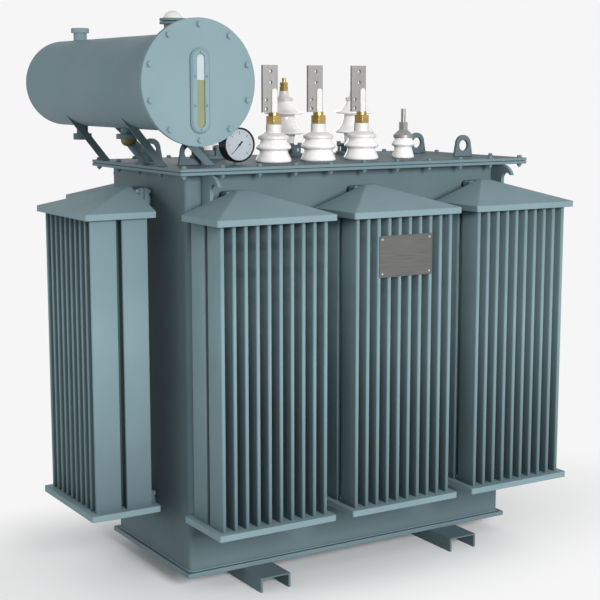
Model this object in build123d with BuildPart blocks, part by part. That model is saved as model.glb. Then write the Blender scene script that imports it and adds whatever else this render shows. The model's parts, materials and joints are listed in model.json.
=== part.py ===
"""Oil-filled distribution transformer on skids, with radiators, conservator and bushings.

The origin lies on the floor under the middle of the whole object. X runs along the tank,
-Y is the side of the low-voltage terminals and Z is up. All lengths are in millimetres.
"""

import os
from math import hypot

from build123d import *

os.makedirs("parts", exist_ok=True)

# Every cut runs past the faces that it goes through by this much
cut_overrun = 1.0

# Skids: two channels with their webs up, running across under the tank
skid_web = 140.0
skid_leg = 61.0
skid_web_wall = 7.0
skid_leg_wall = 10.0
skid_length = 1022.0
skid_spacing = 953.0
skid_shift = 13.0

# Tank: a welded wall on a base plate, closed by a bolted cover
tank_length = 1582.0
tank_depth = 696.0
tank_wall_thickness = 6.0
tank_corner = 20.0
base_thickness = 20.0
base_overhang = 19.5
rim_thickness = 12.0
rim_reach_x = 59.0
rim_reach_y = 78.5
rim_corner = 6.0
gasket_thickness = 2.0
gasket_inset = 4.0
cover_thickness = 12.0

# Radiators: flat tubes between two headers with hipped hoods
radiator_width = 517.5
radiator_depth = 296.0
radiator_pitch = 596.5
radiator_gap = 83.0
tube_foot_height = 288.0
tube_length = 1160.0
tube_width = 110.0
tube_thickness = 16.0
tube_edge = 5.0
tube_pitch = 50.0
tube_column_gap = 22.0
tube_rows = 10
tube_columns = 2
header_lip = 24.0
header_corner = 8.0
hood_rise = 83.0
hood_ridge_length = 54.0
hood_ridge_depth = 22.0
hood_ridge_corner = 4.0
hood_clearance = 61.5

# Necks and paired square flanges that join each radiator to the tank
neck_radius = 30.0
neck_rise = 50.0
flange_size = 104.0
flange_thickness = 20.0
flange_seam = 3.0
flange_seam_step = 6.0
flange_corner = 12.0
flange_wall_gap = 17.0

# Lifting hooks on the long walls, under the rim
hook_spacing = 1436.0
hook_plate = 16.0
hook_body_reach = 74.0
hook_reach = 141.0
hook_drop = 44.0
hook_tip = 15.0
hook_throat_height = 66.0
hook_heel_height = 106.0
hook_root_height = 128.0

# Lifting eyes on the cover
eye_spacing_x = 1374.0
eye_spacing_y = 352.0
eye_plate = 16.0
eye_base = 102.0
eye_height = 95.0
eye_top_radius = 40.5
eye_bore_radius = 24.0
eye_bore_drop = 46.5

# Conservator: a drum across the left end of the cover
drum_offset_x = 877.0
drum_height = 324.0
drum_radius = 180.0
drum_wall = 5.0
drum_front = 638.0
drum_back = 643.0
drum_back_plate = 8.0
drum_back_round = 6.0
drum_flange_radius = 230.0
drum_flange_thickness = 10.0
drum_cover_thickness = 10.0
drum_cover_round = 2.0

# Oil gauge on the drum's front cover
gauge_length = 306.0
gauge_width = 78.0
gauge_thickness = 14.0
gauge_bevel = 8.0
gauge_slot_length = 261.0
gauge_slot_width = 31.0
gauge_drop = 30.0
gauge_pane_thickness = 9.0
gauge_pane_clearance = 0.2
oil_level_share = 0.65

# Fittings on top of the drum
filler_y = 458.0
vent_y = 430.0
filler_neck_radius = 28.0
filler_neck_height = 30.0
filler_cap_radius = 38.0
filler_cap_height = 20.0
filler_cap_round = 4.0
vent_neck_radius = 34.0
vent_neck_height = 34.0
vent_flange_radius = 50.0
vent_flange_thickness = 9.0
vent_flange_seam = 3.0
vent_dome_radius = 38.0
vent_dome_height = 29.0

# Fittings under the drum: a blanked drain below the filler, the oil pipe near the middle
drain_radius = 24.0
drain_drop = 33.0
drain_flange_radius = 39.0
drain_flange_thickness = 26.0
pipe_y = 18.0
pipe_stub_radius = 31.0
pipe_stub_drop = 22.0
pipe_flange_radius = 50.0
pipe_flange_thickness = 19.0
valve_radius = 32.0
valve_foot_radius = 17.0
valve_height = 28.0
pipe_radius = 16.0
pipe_foot_shift_x = 60.0
pipe_foot_shift_y = 36.0
pipe_foot_flange_radius = 33.0
pipe_foot_flange_thickness = 8.0

# Angle-iron struts that carry the drum
strut_leg = 30.0
strut_wall = 6.0
strut_front_y = 206.0
strut_back_y = 345.0
strut_foot_left = 825.0
strut_foot_right = 618.0

# Low-voltage bushings with flag terminals
lv_count = 3
lv_pitch = 218.5
lv_middle_x = 71.0
lv_row_y = 161.0
lv_radius = 75.0
lv_height = 93.0
lv_collar_radius = 64.0
lv_collar_height = 14.5
lv_cap_height = 13.5
lv_sleeve_radius = 32.0
lv_sleeve_height = 35.0
lv_nut_across = 60.0
lv_nut_height = 34.0
lv_stem_radius = 22.0
lv_stem_height = 14.0
palm_width = 72.0
palm_height = 193.0
palm_thickness = 13.0
palm_shift = 18.0
palm_hole_radius = 7.0
palm_upper_pitch = 46.0
palm_lower_pitch = 37.0
palm_spine_width = 25.0
palm_spine_height = 98.0
palm_spine_proud = 5.0

# Neutral bushing at the right of the row
neutral_x = 368.0
neutral_radius = 51.0
neutral_height = 88.0
neutral_collar_radius = 43.0
neutral_collar_height = 12.0
neutral_cap_height = 22.0
neutral_cap_radius = 20.0
neutral_nut_across = 36.0
neutral_nut_height = 34.0
neutral_stud_radius = 10.0
neutral_stud_height = 58.0

# High-voltage bushings behind
hv_count = 3
hv_pitch = 379.0
hv_row_y = 242.0
hv_flange_radius = 84.0
hv_flange_thickness = 14.0
hv_clamp_radius = 62.0
hv_clamp_height = 24.0
hv_radius = 92.0
hv_height = 207.0
hv_cap_radius = 41.0
hv_cap_height = 45.0
hv_nut_across = 37.0
hv_nut_height = 38.0
hv_stud_radius = 9.0
hv_stud_height = 20.0

# Dial thermometer in its pocket on the cover
dial_x = 515.0
dial_y = 255.0
dial_lift = 11.0
dial_radius = 69.0
dial_depth = 56.0
dial_bezel = 7.0
dial_recess = 5.0
dial_plate_thickness = 2.0
pocket_radius = 11.0
pocket_nut_across = 34.0
pocket_nut_height = 10.0

# Outlines as shares of a bushing's radius and height, from the foot up
lv_outline_shares = (
    (0.93, 0.00), (1.00, 0.06), (0.99, 0.12), (0.82, 0.39), (0.79, 0.50), (0.94, 0.57), (0.98, 0.61),
    (0.98, 0.68), (0.93, 0.74), (0.78, 0.87), (0.75, 0.93), (0.75, 1.00),
)
neutral_outline_shares = (
    (0.90, 0.00), (0.94, 0.05), (0.93, 0.12), (0.76, 0.44), (0.76, 0.58), (0.97, 0.65), (1.00, 0.70),
    (0.97, 0.76), (0.78, 0.90), (0.74, 1.00),
)
hv_outline_shares = (
    (0.52, 0.00), (0.53, 0.27), (0.66, 0.29), (0.97, 0.295), (1.00, 0.315), (0.97, 0.34), (0.71, 0.44),
    (0.58, 0.56), (0.53, 0.70), (0.66, 0.71), (0.97, 0.715), (1.00, 0.735), (0.97, 0.76), (0.66, 0.83),
    (0.50, 0.91), (0.43, 1.00),
)

# Radii of a hook's throat and brow as shares of their chords
hook_throat_share = 0.53
hook_brow_share = 0.96

# Where the two rows of struts meet the drum, as shares of its radius from its axis
strut_seat_shares = ((-0.443, -0.897), (0.485, -0.875))

# The two pairs of terminal holes as shares of the flag's width and height
palm_upper_share = (0.54, 0.750)
palm_lower_share = (0.235, 0.165)

# Levels of a radiator over the underside of the base plate
tube_top_height = tube_foot_height + tube_length
top_neck_height = tube_top_height + neck_rise
low_neck_height = tube_foot_height - neck_rise
hood_top_height = tube_top_height + header_lip + hood_rise

# The wall stands clear over the radiators' hoods
tank_wall_height = hood_top_height + hood_clearance - base_thickness

# Heights of the main levels over the floor
base_bottom = skid_leg
base_top = base_bottom + base_thickness
wall_top = base_top + tank_wall_height
rim_top = wall_top + rim_thickness
gasket_top = rim_top + gasket_thickness
cover_top = gasket_top + cover_thickness

# Plan of the tank: the left radiator reaches further out than the right end
cover_length = tank_length + 2 * rim_reach_x
cover_depth = tank_depth + 2 * rim_reach_y
radiator_reach = radiator_gap + radiator_depth
left_reach = tank_length / 2 + radiator_reach
right_reach = max(cover_length / 2, radiator_pitch + radiator_width / 2)
tank_x = (left_reach - right_reach) / 2

# Axis of the conservator
drum_x = tank_x - drum_offset_x
drum_z = cover_top + drum_height
drum_length = drum_front + drum_back
shell_back_y = drum_back - drum_back_plate
flange_back_y = -drum_front + drum_cover_thickness + drum_flange_thickness


def upright(x, y, z):
    """Plane that faces the front, with its own x along X and its own y along Z."""
    return Plane(origin=(x, y, z), x_dir=(1, 0, 0), z_dir=(0, -1, 0))


def finish(builder, name):
    """Labels a finished piece and writes it."""
    builder.part.label = name
    export_step(builder.part, f"parts/{name}.step")


def radiator_seats():
    """Planes on the tank wall, one for each radiator, with y pointing out of the wall."""
    places = {"left": -radiator_pitch, "middle": 0, "right": radiator_pitch}
    seats = {}
    for side, along, face in (("front", -1, -tank_depth / 2), ("back", 1, tank_depth / 2)):
        for place, x in places.items():
            origin = (tank_x + x, face, base_bottom)
            seats[f"{side}_{place}"] = Plane(origin=origin, x_dir=(along, 0, 0), z_dir=(0, 0, 1))
    origin = (tank_x - tank_length / 2, 0, base_bottom)
    seats["left_end"] = Plane(origin=origin, x_dir=(0, 1, 0), z_dir=(0, 0, 1))
    return seats


def make_skids():
    """Two channels standing on the edges of their legs."""
    with BuildPart() as skids:
        with BuildSketch(upright(tank_x - skid_shift, skid_length / 2, 0)):
            with GridLocations(skid_spacing, 0, 2, 1):
                Rectangle(skid_web, skid_leg, align=(Align.CENTER, Align.MIN))
                Rectangle(
                    skid_web - 2 * skid_leg_wall,
                    skid_leg - skid_web_wall,
                    align=(Align.CENTER, Align.MIN),
                    mode=Mode.SUBTRACT,
                )
        extrude(amount=skid_length)
    finish(skids, "skids")


def make_tank():
    """Base plate, hollow wall, rim, gasket and cover."""
    with BuildPart() as base_plate:
        with BuildSketch(Plane.XY.offset(base_bottom)):
            with Locations((tank_x, 0)):
                Rectangle(tank_length + 2 * base_overhang, tank_depth + 2 * base_overhang)
        extrude(amount=base_thickness)
    finish(base_plate, "base_plate")

    inner_length = tank_length - 2 * tank_wall_thickness
    inner_depth = tank_depth - 2 * tank_wall_thickness
    inner_corner = tank_corner - tank_wall_thickness
    with BuildPart() as tank_wall:
        with BuildSketch(Plane.XY.offset(base_top)):
            with Locations((tank_x, 0)):
                RectangleRounded(tank_length, tank_depth, tank_corner)
                RectangleRounded(inner_length, inner_depth, inner_corner, mode=Mode.SUBTRACT)
        extrude(amount=tank_wall_height)
    finish(tank_wall, "tank_wall")

    rings = (
        ("tank_rim", wall_top, rim_thickness, 0),
        ("cover_gasket", rim_top, gasket_thickness, gasket_inset),
    )
    for name, level, thickness, inset in rings:
        with BuildPart() as ring:
            with BuildSketch(Plane.XY.offset(level)):
                with Locations((tank_x, 0)):
                    RectangleRounded(cover_length - 2 * inset, cover_depth - 2 * inset, rim_corner)
                    RectangleRounded(inner_length, inner_depth, inner_corner, mode=Mode.SUBTRACT)
            extrude(amount=thickness)
        finish(ring, name)

    with BuildPart() as cover_plate:
        with BuildSketch(Plane.XY.offset(gasket_top)):
            with Locations((tank_x, 0)):
                RectangleRounded(cover_length, cover_depth, rim_corner)
        extrude(amount=cover_thickness)
    finish(cover_plate, "cover_plate")


def make_headers(name, seat):
    """Top and bottom headers: a lip over the tubes and a hipped hood lofted to a short ridge."""
    with BuildPart() as headers:
        for face, way in ((tube_top_height, 1), (tube_foot_height, -1)):
            lip_face = face + way * header_lip
            ridge_face = lip_face + way * hood_rise
            with BuildSketch(seat.offset(face)):
                with Locations((0, radiator_gap)):
                    RectangleRounded(
                        radiator_width, radiator_depth, header_corner, align=(Align.CENTER, Align.MIN)
                    )
            extrude(amount=way * header_lip)
            with BuildSketch(seat.offset(lip_face)):
                with Locations((0, radiator_gap)):
                    RectangleRounded(
                        radiator_width, radiator_depth, header_corner, align=(Align.CENTER, Align.MIN)
                    )
            with BuildSketch(seat.offset(ridge_face)):
                with Locations((0, radiator_gap)):
                    RectangleRounded(
                        hood_ridge_length,
                        hood_ridge_depth,
                        hood_ridge_corner,
                        align=(Align.CENTER, Align.MIN),
                    )
            loft()
    finish(headers, f"{name}_radiator_headers")


def make_tubes(name, seat):
    """Two columns of flat tubes that stand between the headers."""
    with BuildPart() as tubes:
        with BuildSketch(seat.offset(tube_foot_height)) as section:
            with Locations((0, radiator_gap + radiator_depth / 2)):
                with GridLocations(tube_pitch, tube_width + tube_column_gap, tube_rows, tube_columns):
                    Rectangle(tube_thickness, tube_width)
            chamfer(section.vertices(), tube_edge)
        extrude(amount=tube_length)
    finish(tubes, f"{name}_radiator_tubes")


def make_flanges(seats):
    """A neck with a pair of square flanges at the top and the bottom of every radiator."""
    outer_flange = flange_wall_gap + flange_thickness + flange_seam
    with BuildPart() as flanges:
        for seat in seats.values():
            for height in (top_neck_height, low_neck_height):
                centre = seat.from_local_coords((0, 0, height))
                neck = Plane(origin=centre, x_dir=seat.x_dir, z_dir=seat.y_dir)
                with BuildSketch(neck):
                    Circle(neck_radius)
                extrude(amount=radiator_gap)
                for start in (flange_wall_gap, outer_flange):
                    with BuildSketch(neck.offset(start)):
                        RectangleRounded(flange_size, flange_size, flange_corner)
                    extrude(amount=flange_thickness)
                with BuildSketch(neck.offset(flange_wall_gap + flange_thickness)):
                    joint_size = flange_size - 2 * flange_seam_step
                    RectangleRounded(joint_size, joint_size, flange_corner - flange_seam_step)
                extrude(amount=flange_seam)
    finish(flanges, "radiator_flanges")


def make_hooks():
    """Plate hooks welded to the long walls under the rim, with their tips turned down."""
    tip_inner = hook_reach - hook_tip
    throat_radius = hook_throat_share * hypot(tip_inner - hook_body_reach, hook_throat_height - hook_drop)
    brow_radius = hook_brow_share * hypot(hook_reach - hook_body_reach, hook_drop)
    with BuildPart() as hooks:
        for side in (-1, 1):
            for x in (-hook_spacing / 2, hook_spacing / 2):
                corner = (tank_x + x - hook_plate / 2, side * tank_depth / 2, wall_top)
                face = Plane(origin=corner, x_dir=(0, side, 0), z_dir=(1, 0, 0))
                up = face.y_dir.Z
                with BuildSketch(face):
                    with BuildLine():
                        root = (0, -up * hook_root_height)
                        heel = (hook_body_reach, -up * hook_heel_height)
                        chin = (hook_body_reach, -up * hook_throat_height)
                        throat = (tip_inner, -up * hook_drop)
                        point = (hook_reach, -up * hook_drop)
                        brow = (hook_body_reach, 0)
                        Polyline((0, 0), root, heel, chin)
                        RadiusArc(chin, throat, up * throat_radius)
                        Line(throat, point)
                        RadiusArc(point, brow, -up * brow_radius)
                        Line(brow, (0, 0))
                    make_face()
                extrude(amount=hook_plate)
    finish(hooks, "lifting_hooks")


def make_eyes():
    """Round-topped lifting eyes welded to the cover."""
    shoulder = eye_height - eye_top_radius
    with BuildPart() as eyes:
        with BuildSketch(upright(tank_x, eye_spacing_y / 2 + eye_plate / 2, cover_top)):
            with GridLocations(eye_spacing_x, 0, 2, 1):
                with Locations((0, shoulder)):
                    Circle(eye_top_radius)
                Polygon(
                    (-eye_base / 2, 0),
                    (eye_base / 2, 0),
                    (eye_top_radius, shoulder),
                    (-eye_top_radius, shoulder),
                    align=None,
                )
                with Locations((0, eye_height - eye_bore_drop)):
                    Circle(eye_bore_radius, mode=Mode.SUBTRACT)
        extrude(amount=eye_plate)
        mirror(about=Plane.XZ)
    finish(eyes, "lifting_eyes")


def make_drum():
    """Conservator drum with its back plate, front flange and bolted front cover."""
    with BuildPart() as drum_shell:
        with BuildSketch(upright(drum_x, shell_back_y, drum_z)):
            Circle(drum_radius)
            Circle(drum_radius - drum_wall, mode=Mode.SUBTRACT)
        extrude(amount=shell_back_y - flange_back_y)
    finish(drum_shell, "conservator_shell")

    with BuildPart() as back_plate:
        with BuildSketch(upright(drum_x, drum_back, drum_z)):
            Circle(drum_radius)
        extrude(amount=drum_back_plate)
        fillet(back_plate.edges().sort_by(Axis.Y)[-1], drum_back_round)
    finish(back_plate, "conservator_back")

    with BuildPart() as flange:
        with BuildSketch(upright(drum_x, flange_back_y, drum_z)):
            Circle(drum_flange_radius)
            Circle(drum_radius - drum_wall, mode=Mode.SUBTRACT)
        extrude(amount=drum_flange_thickness)
    finish(flange, "conservator_flange")

    with BuildPart() as front_cover:
        with BuildSketch(upright(drum_x, flange_back_y - drum_flange_thickness, drum_z)):
            Circle(drum_flange_radius)
        extrude(amount=drum_cover_thickness)
        fillet(front_cover.edges().sort_by(Axis.Y)[0], drum_cover_round)
    finish(front_cover, "conservator_cover")


def make_gauge():
    """Oil gauge: a raised frame with the oil column below and clear glass above."""
    face = upright(drum_x, -drum_front, drum_z - gauge_drop)
    pane_length = gauge_slot_length - 2 * gauge_pane_clearance
    pane_width = gauge_slot_width - 2 * gauge_pane_clearance
    oil_line = (oil_level_share - 1 / 2) * gauge_slot_length

    with BuildPart() as frame:
        with BuildSketch(face):
            SlotOverall(gauge_length, gauge_width, rotation=90)
        extrude(amount=gauge_thickness)
        chamfer(frame.edges().group_by(Axis.Y)[0], gauge_bevel)
        with BuildSketch(face):
            SlotOverall(gauge_slot_length, gauge_slot_width, rotation=90)
        extrude(amount=gauge_thickness, mode=Mode.SUBTRACT)
    finish(frame, "gauge_frame")

    for name, edge in (("gauge_oil", Align.MAX), ("gauge_glass", Align.MIN)):
        with BuildPart() as pane:
            with BuildSketch(face):
                SlotOverall(pane_length, pane_width, rotation=90)
                with Locations((0, oil_line)):
                    Rectangle(
                        gauge_width, gauge_length, align=(Align.CENTER, edge), mode=Mode.INTERSECT
                    )
            extrude(amount=gauge_pane_thickness)
        finish(pane, name)


def cope_to_drum():
    """Cuts the piece in work to the round of the drum."""
    with BuildSketch(upright(drum_x, drum_length, drum_z)) as drum_round:
        Circle(drum_radius)
    extrude(drum_round.sketch, amount=2 * drum_length, mode=Mode.SUBTRACT)


def make_drum_fittings():
    """Filler, vent and drain on the drum."""
    top = drum_z + drum_radius
    bottom = drum_z - drum_radius
    front_y = -vent_y
    back_y = filler_y

    with BuildPart() as filler_neck:
        with BuildSketch(Plane.XY.offset(top + filler_neck_height)):
            with Locations((drum_x, back_y)):
                Circle(filler_neck_radius)
        extrude(amount=-filler_neck_height - drum_radius)
        cope_to_drum()
    finish(filler_neck, "filler_neck")

    with BuildPart() as filler_cap:
        with BuildSketch(Plane.XY.offset(top + filler_neck_height)):
            with Locations((drum_x, back_y)):
                Circle(filler_cap_radius)
        extrude(amount=filler_cap_height)
        fillet(filler_cap.edges().group_by(Axis.Z)[-1], filler_cap_round)
    finish(filler_cap, "filler_cap")

    flange_bottom = top + vent_neck_height
    flange_gap = flange_bottom + vent_flange_thickness
    flange_upper = flange_gap + vent_flange_seam
    vent_top = flange_upper + vent_flange_thickness
    dome_sphere = (vent_dome_radius**2 + vent_dome_height**2) / (2 * vent_dome_height)
    with BuildPart() as vent_neck:
        with BuildSketch(Plane.XY.offset(flange_upper)):
            with Locations((drum_x, front_y)):
                Circle(vent_neck_radius)
        extrude(amount=drum_z - flange_upper)
        cope_to_drum()
        for level in (flange_bottom, flange_upper):
            with BuildSketch(Plane.XY.offset(level)):
                with Locations((drum_x, front_y)):
                    Circle(vent_flange_radius)
            extrude(amount=vent_flange_thickness)
    finish(vent_neck, "vent_neck")

    with BuildPart() as vent_dome:
        with BuildSketch(upright(drum_x, front_y, vent_top)):
            with BuildLine():
                Polyline((0, vent_dome_height), (0, 0), (vent_dome_radius, 0))
                RadiusArc((vent_dome_radius, 0), (0, vent_dome_height), -dome_sphere)
            make_face()
        revolve(axis=Axis((drum_x, front_y, vent_top), (0, 0, 1)))
    finish(vent_dome, "vent_dome")

    with BuildPart() as drain:
        with BuildSketch(Plane.XY.offset(bottom - drain_drop)):
            with Locations((drum_x, back_y)):
                Circle(drain_radius)
        extrude(amount=drum_radius)
        cope_to_drum()
        with BuildSketch(Plane.XY.offset(bottom - drain_drop)):
            with Locations((drum_x, back_y)):
                Circle(drain_flange_radius)
        extrude(amount=-drain_flange_thickness)
    finish(drain, "drain_stub")


def make_oil_pipe():
    """Oil pipe from the middle of the drum, through a round-bottomed valve, down to the cover."""
    stub_bottom = drum_z - drum_radius - pipe_stub_drop
    valve_bottom = stub_bottom - pipe_flange_thickness - valve_height
    foot_x = drum_x + pipe_foot_shift_x
    foot_y = -pipe_y - pipe_foot_shift_y

    with BuildPart() as stub:
        with BuildSketch(Plane.XY.offset(stub_bottom)):
            with Locations((drum_x, -pipe_y)):
                Circle(pipe_stub_radius)
        extrude(amount=drum_radius)
        cope_to_drum()
        with BuildSketch(Plane.XY.offset(stub_bottom)):
            with Locations((drum_x, -pipe_y)):
                Circle(pipe_flange_radius)
        extrude(amount=-pipe_flange_thickness)
    finish(stub, "pipe_stub")

    with BuildPart() as valve:
        with BuildSketch(upright(drum_x, -pipe_y, valve_bottom)):
            with BuildLine():
                Polyline((valve_foot_radius, 0), (0, 0), (0, valve_height), (valve_radius, valve_height))
                RadiusArc((valve_radius, valve_height), (valve_foot_radius, 0), valve_height)
            make_face()
        revolve(axis=Axis((drum_x, -pipe_y, valve_bottom), (0, 0, 1)))
    finish(valve, "oil_valve")

    outlet = Vector(drum_x, -pipe_y, valve_bottom + valve_height / 2)
    slope = Vector(foot_x, foot_y, cover_top) - outlet
    with BuildPart() as pipe:
        with BuildSketch(Plane(origin=outlet, z_dir=slope)):
            Circle(pipe_radius)
        extrude(amount=slope.length + pipe_foot_flange_radius)
        with BuildSketch(Plane.XY.offset(cover_top)):
            with Locations((foot_x, foot_y)):
                Circle(pipe_foot_flange_radius)
        extrude(amount=pipe_foot_flange_thickness)
        split(bisect_by=Plane.XY.offset(cover_top), keep=Keep.TOP)
        add(valve.part, mode=Mode.SUBTRACT)
    finish(pipe, "oil_pipe")


def make_struts():
    """Four leaning angle irons that stand on the cover and are coped to the drum."""
    with BuildPart() as struts:
        for foot, seat in zip((strut_foot_left, strut_foot_right), strut_seat_shares):
            across, up = seat
            for y in (-strut_front_y, strut_back_y):
                start = Vector(tank_x - foot, y, cover_top)
                top = Vector(drum_x + across * drum_radius, y, drum_z + up * drum_radius)
                along = top - start
                base = Plane(origin=start, x_dir=(0, 1, 0), z_dir=along)
                with BuildSketch(base.offset(-strut_leg)):
                    Rectangle(strut_leg, strut_leg)
                    with Locations((strut_wall, strut_wall)):
                        Rectangle(strut_leg, strut_leg, mode=Mode.SUBTRACT)
                extrude(amount=along.length + 3 * strut_leg)
        cope_to_drum()
        split(bisect_by=Plane.XY.offset(cover_top), keep=Keep.TOP)
    finish(struts, "conservator_struts")


def revolve_outline(x, y, level, radius, height, shares):
    """Turns a bushing's outline, given as shares of its radius and height, about its axis."""
    with BuildSketch(upright(x, y, level)) as outline:
        with BuildLine():
            points = [(radius * across, height * up) for across, up in shares]
            Polyline((0, 0), *points, (0, height), close=True)
        make_face()
    revolve(outline.sketch, axis=Axis((x, y, level), (0, 0, 1)))


def lv_places():
    """Places of the low-voltage bushings on the cover."""
    first = -(lv_count - 1) / 2
    return [(tank_x - lv_middle_x + (first + i) * lv_pitch, -lv_row_y) for i in range(lv_count)]


def make_lv_bushings():
    """Low-voltage bushings: porcelain, collar with cap, hexagon nut and flag terminal."""
    places = lv_places()
    collar_level = cover_top + lv_height
    cap_level = collar_level + lv_collar_height
    sleeve_level = cap_level + lv_cap_height
    nut_level = sleeve_level + lv_sleeve_height
    stem_level = nut_level + lv_nut_height
    palm_level = stem_level + lv_stem_height

    with BuildPart() as porcelain:
        for x, y in places:
            revolve_outline(x, y, cover_top, lv_radius, lv_height, lv_outline_shares)
    finish(porcelain, "lv_insulators")

    with BuildPart() as collars:
        for x, y in places:
            with BuildSketch(upright(x, y, collar_level)):
                with BuildLine():
                    Polyline(
                        (0, 0),
                        (lv_collar_radius, 0),
                        (lv_collar_radius, lv_collar_height),
                        (lv_sleeve_radius, lv_collar_height + lv_cap_height),
                        (lv_sleeve_radius, lv_collar_height + lv_cap_height + lv_sleeve_height),
                        (0, lv_collar_height + lv_cap_height + lv_sleeve_height),
                        close=True,
                    )
                make_face()
            revolve(axis=Axis((x, y, collar_level), (0, 0, 1)))
    finish(collars, "lv_collars")

    with BuildPart() as nuts:
        for x, y in places:
            with BuildSketch(Plane.XY.offset(nut_level)):
                with Locations((x, y)):
                    RegularPolygon(lv_nut_across / 2, 6, major_radius=False)
            extrude(amount=lv_nut_height)
            with BuildSketch(Plane.XY.offset(stem_level)):
                with Locations((x, y)):
                    Circle(lv_stem_radius)
            extrude(amount=lv_stem_height)
    finish(nuts, "lv_nuts")

    with BuildPart() as palms:
        for x, y in places:
            left = x - palm_shift - palm_width / 2
            face = upright(left, y + palm_thickness / 2, palm_level)
            with BuildSketch(face):
                Rectangle(palm_width, palm_height, align=(Align.MIN, Align.MIN))
                pairs = ((palm_upper_share, palm_upper_pitch), (palm_lower_share, palm_lower_pitch))
                for (across, up), pitch in pairs:
                    with Locations((palm_width * across, palm_height * up)):
                        with GridLocations(0, pitch, 1, 2):
                            Circle(palm_hole_radius, mode=Mode.SUBTRACT)
            extrude(amount=palm_thickness)
            with BuildSketch(upright(x, y - palm_thickness / 2, palm_level)):
                spine_round = palm_spine_width / 2
                spine_straight = palm_spine_height - spine_round
                Rectangle(palm_spine_width, spine_straight, align=(Align.CENTER, Align.MIN))
                with Locations((0, spine_straight)):
                    Circle(spine_round)
            extrude(amount=palm_spine_proud)
    finish(palms, "lv_terminals")


def make_neutral_bushing():
    """Neutral bushing, smaller than the others, with a threaded stud."""
    x, y = tank_x + neutral_x, -lv_row_y
    collar_level = cover_top + neutral_height
    cap_level = collar_level + neutral_collar_height
    nut_level = cap_level + neutral_cap_height
    stud_level = nut_level + neutral_nut_height

    with BuildPart() as porcelain:
        revolve_outline(x, y, cover_top, neutral_radius, neutral_height, neutral_outline_shares)
    finish(porcelain, "neutral_insulator")

    with BuildPart() as fitting:
        with BuildSketch(upright(x, y, collar_level)):
            with BuildLine():
                Polyline(
                    (0, 0),
                    (neutral_collar_radius, 0),
                    (neutral_collar_radius, neutral_collar_height),
                    (neutral_cap_radius, neutral_collar_height + neutral_cap_height),
                    (0, neutral_collar_height + neutral_cap_height),
                    close=True,
                )
            make_face()
        revolve(axis=Axis((x, y, collar_level), (0, 0, 1)))
        with BuildSketch(Plane.XY.offset(nut_level)):
            with Locations((x, y)):
                RegularPolygon(neutral_nut_across / 2, 6, major_radius=False)
        extrude(amount=neutral_nut_height)
        with BuildSketch(Plane.XY.offset(stud_level)):
            with Locations((x, y)):
                Circle(neutral_stud_radius)
        extrude(amount=neutral_stud_height)
    finish(fitting, "neutral_terminal")


def make_hv_bushings():
    """High-voltage bushings: clamped flange, two-shed porcelain, cap and terminal stud."""
    first = -(hv_count - 1) / 2
    places = [(tank_x + (first + i) * hv_pitch, hv_row_y) for i in range(hv_count)]
    clamp_level = cover_top + hv_flange_thickness
    porcelain_level = clamp_level + hv_clamp_height
    cap_level = porcelain_level + hv_height
    nut_level = cap_level + hv_cap_height
    stud_level = nut_level + hv_nut_height

    with BuildPart() as flanges:
        for x, y in places:
            with BuildSketch(Plane.XY.offset(cover_top)):
                with Locations((x, y)):
                    Circle(hv_flange_radius)
            extrude(amount=hv_flange_thickness)
            with BuildSketch(Plane.XY.offset(clamp_level)):
                with Locations((x, y)):
                    Circle(hv_clamp_radius)
            extrude(amount=hv_clamp_height)
    finish(flanges, "hv_flanges")

    with BuildPart() as porcelain:
        for x, y in places:
            revolve_outline(x, y, porcelain_level, hv_radius, hv_height, hv_outline_shares)
    finish(porcelain, "hv_insulators")

    with BuildPart() as caps:
        for x, y in places:
            with BuildSketch(upright(x, y, cap_level)):
                with BuildLine():
                    Polyline(
                        (0, 0),
                        (hv_cap_radius, 0),
                        (hv_cap_radius, hv_cap_height / 3),
                        (hv_cap_radius / 2, hv_cap_height),
                        (0, hv_cap_height),
                        close=True,
                    )
                make_face()
            revolve(axis=Axis((x, y, cap_level), (0, 0, 1)))
    finish(caps, "hv_caps")

    with BuildPart() as studs:
        for x, y in places:
            with BuildSketch(Plane.XY.offset(nut_level)):
                with Locations((x, y)):
                    RegularPolygon(hv_nut_across / 2, 6, major_radius=False)
            extrude(amount=hv_nut_height)
            with BuildSketch(Plane.XY.offset(stud_level)):
                with Locations((x, y)):
                    Circle(hv_stud_radius)
            extrude(amount=hv_stud_height)
    finish(studs, "hv_studs")


def make_thermometer():
    """Dial thermometer on a stem that screws into a pocket in the cover."""
    x, y = tank_x - dial_x, -dial_y
    centre_z = cover_top + dial_lift + dial_radius
    inner_radius = dial_radius - dial_bezel
    plate_y = y - dial_depth / 2 + dial_recess

    with BuildPart() as case:
        with BuildSketch(upright(x, y + dial_depth / 2, centre_z)):
            Circle(dial_radius)
        extrude(amount=dial_depth)
        with BuildSketch(upright(x, plate_y + dial_plate_thickness, centre_z)):
            Circle(inner_radius)
        extrude(amount=dial_recess + dial_plate_thickness + cut_overrun, mode=Mode.SUBTRACT)
    finish(case, "thermometer_case")

    with BuildPart() as dial:
        with BuildSketch(upright(x, plate_y + dial_plate_thickness, centre_z)):
            Circle(inner_radius)
        extrude(amount=dial_plate_thickness)
    finish(dial, "thermometer_dial")

    with BuildPart() as pocket:
        with BuildSketch(Plane.XY.offset(cover_top)):
            with Locations((x, y)):
                RegularPolygon(pocket_nut_across / 2, 6, major_radius=False)
        extrude(amount=pocket_nut_height)
        with BuildSketch(Plane.XY.offset(cover_top)):
            with Locations((x, y)):
                Circle(pocket_radius)
        extrude(amount=dial_lift + dial_radius)
        with BuildSketch(upright(x, y + dial_depth, centre_z)):
            Circle(dial_radius)
        extrude(amount=2 * dial_depth, mode=Mode.SUBTRACT)
    finish(pocket, "thermometer_pocket")


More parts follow.
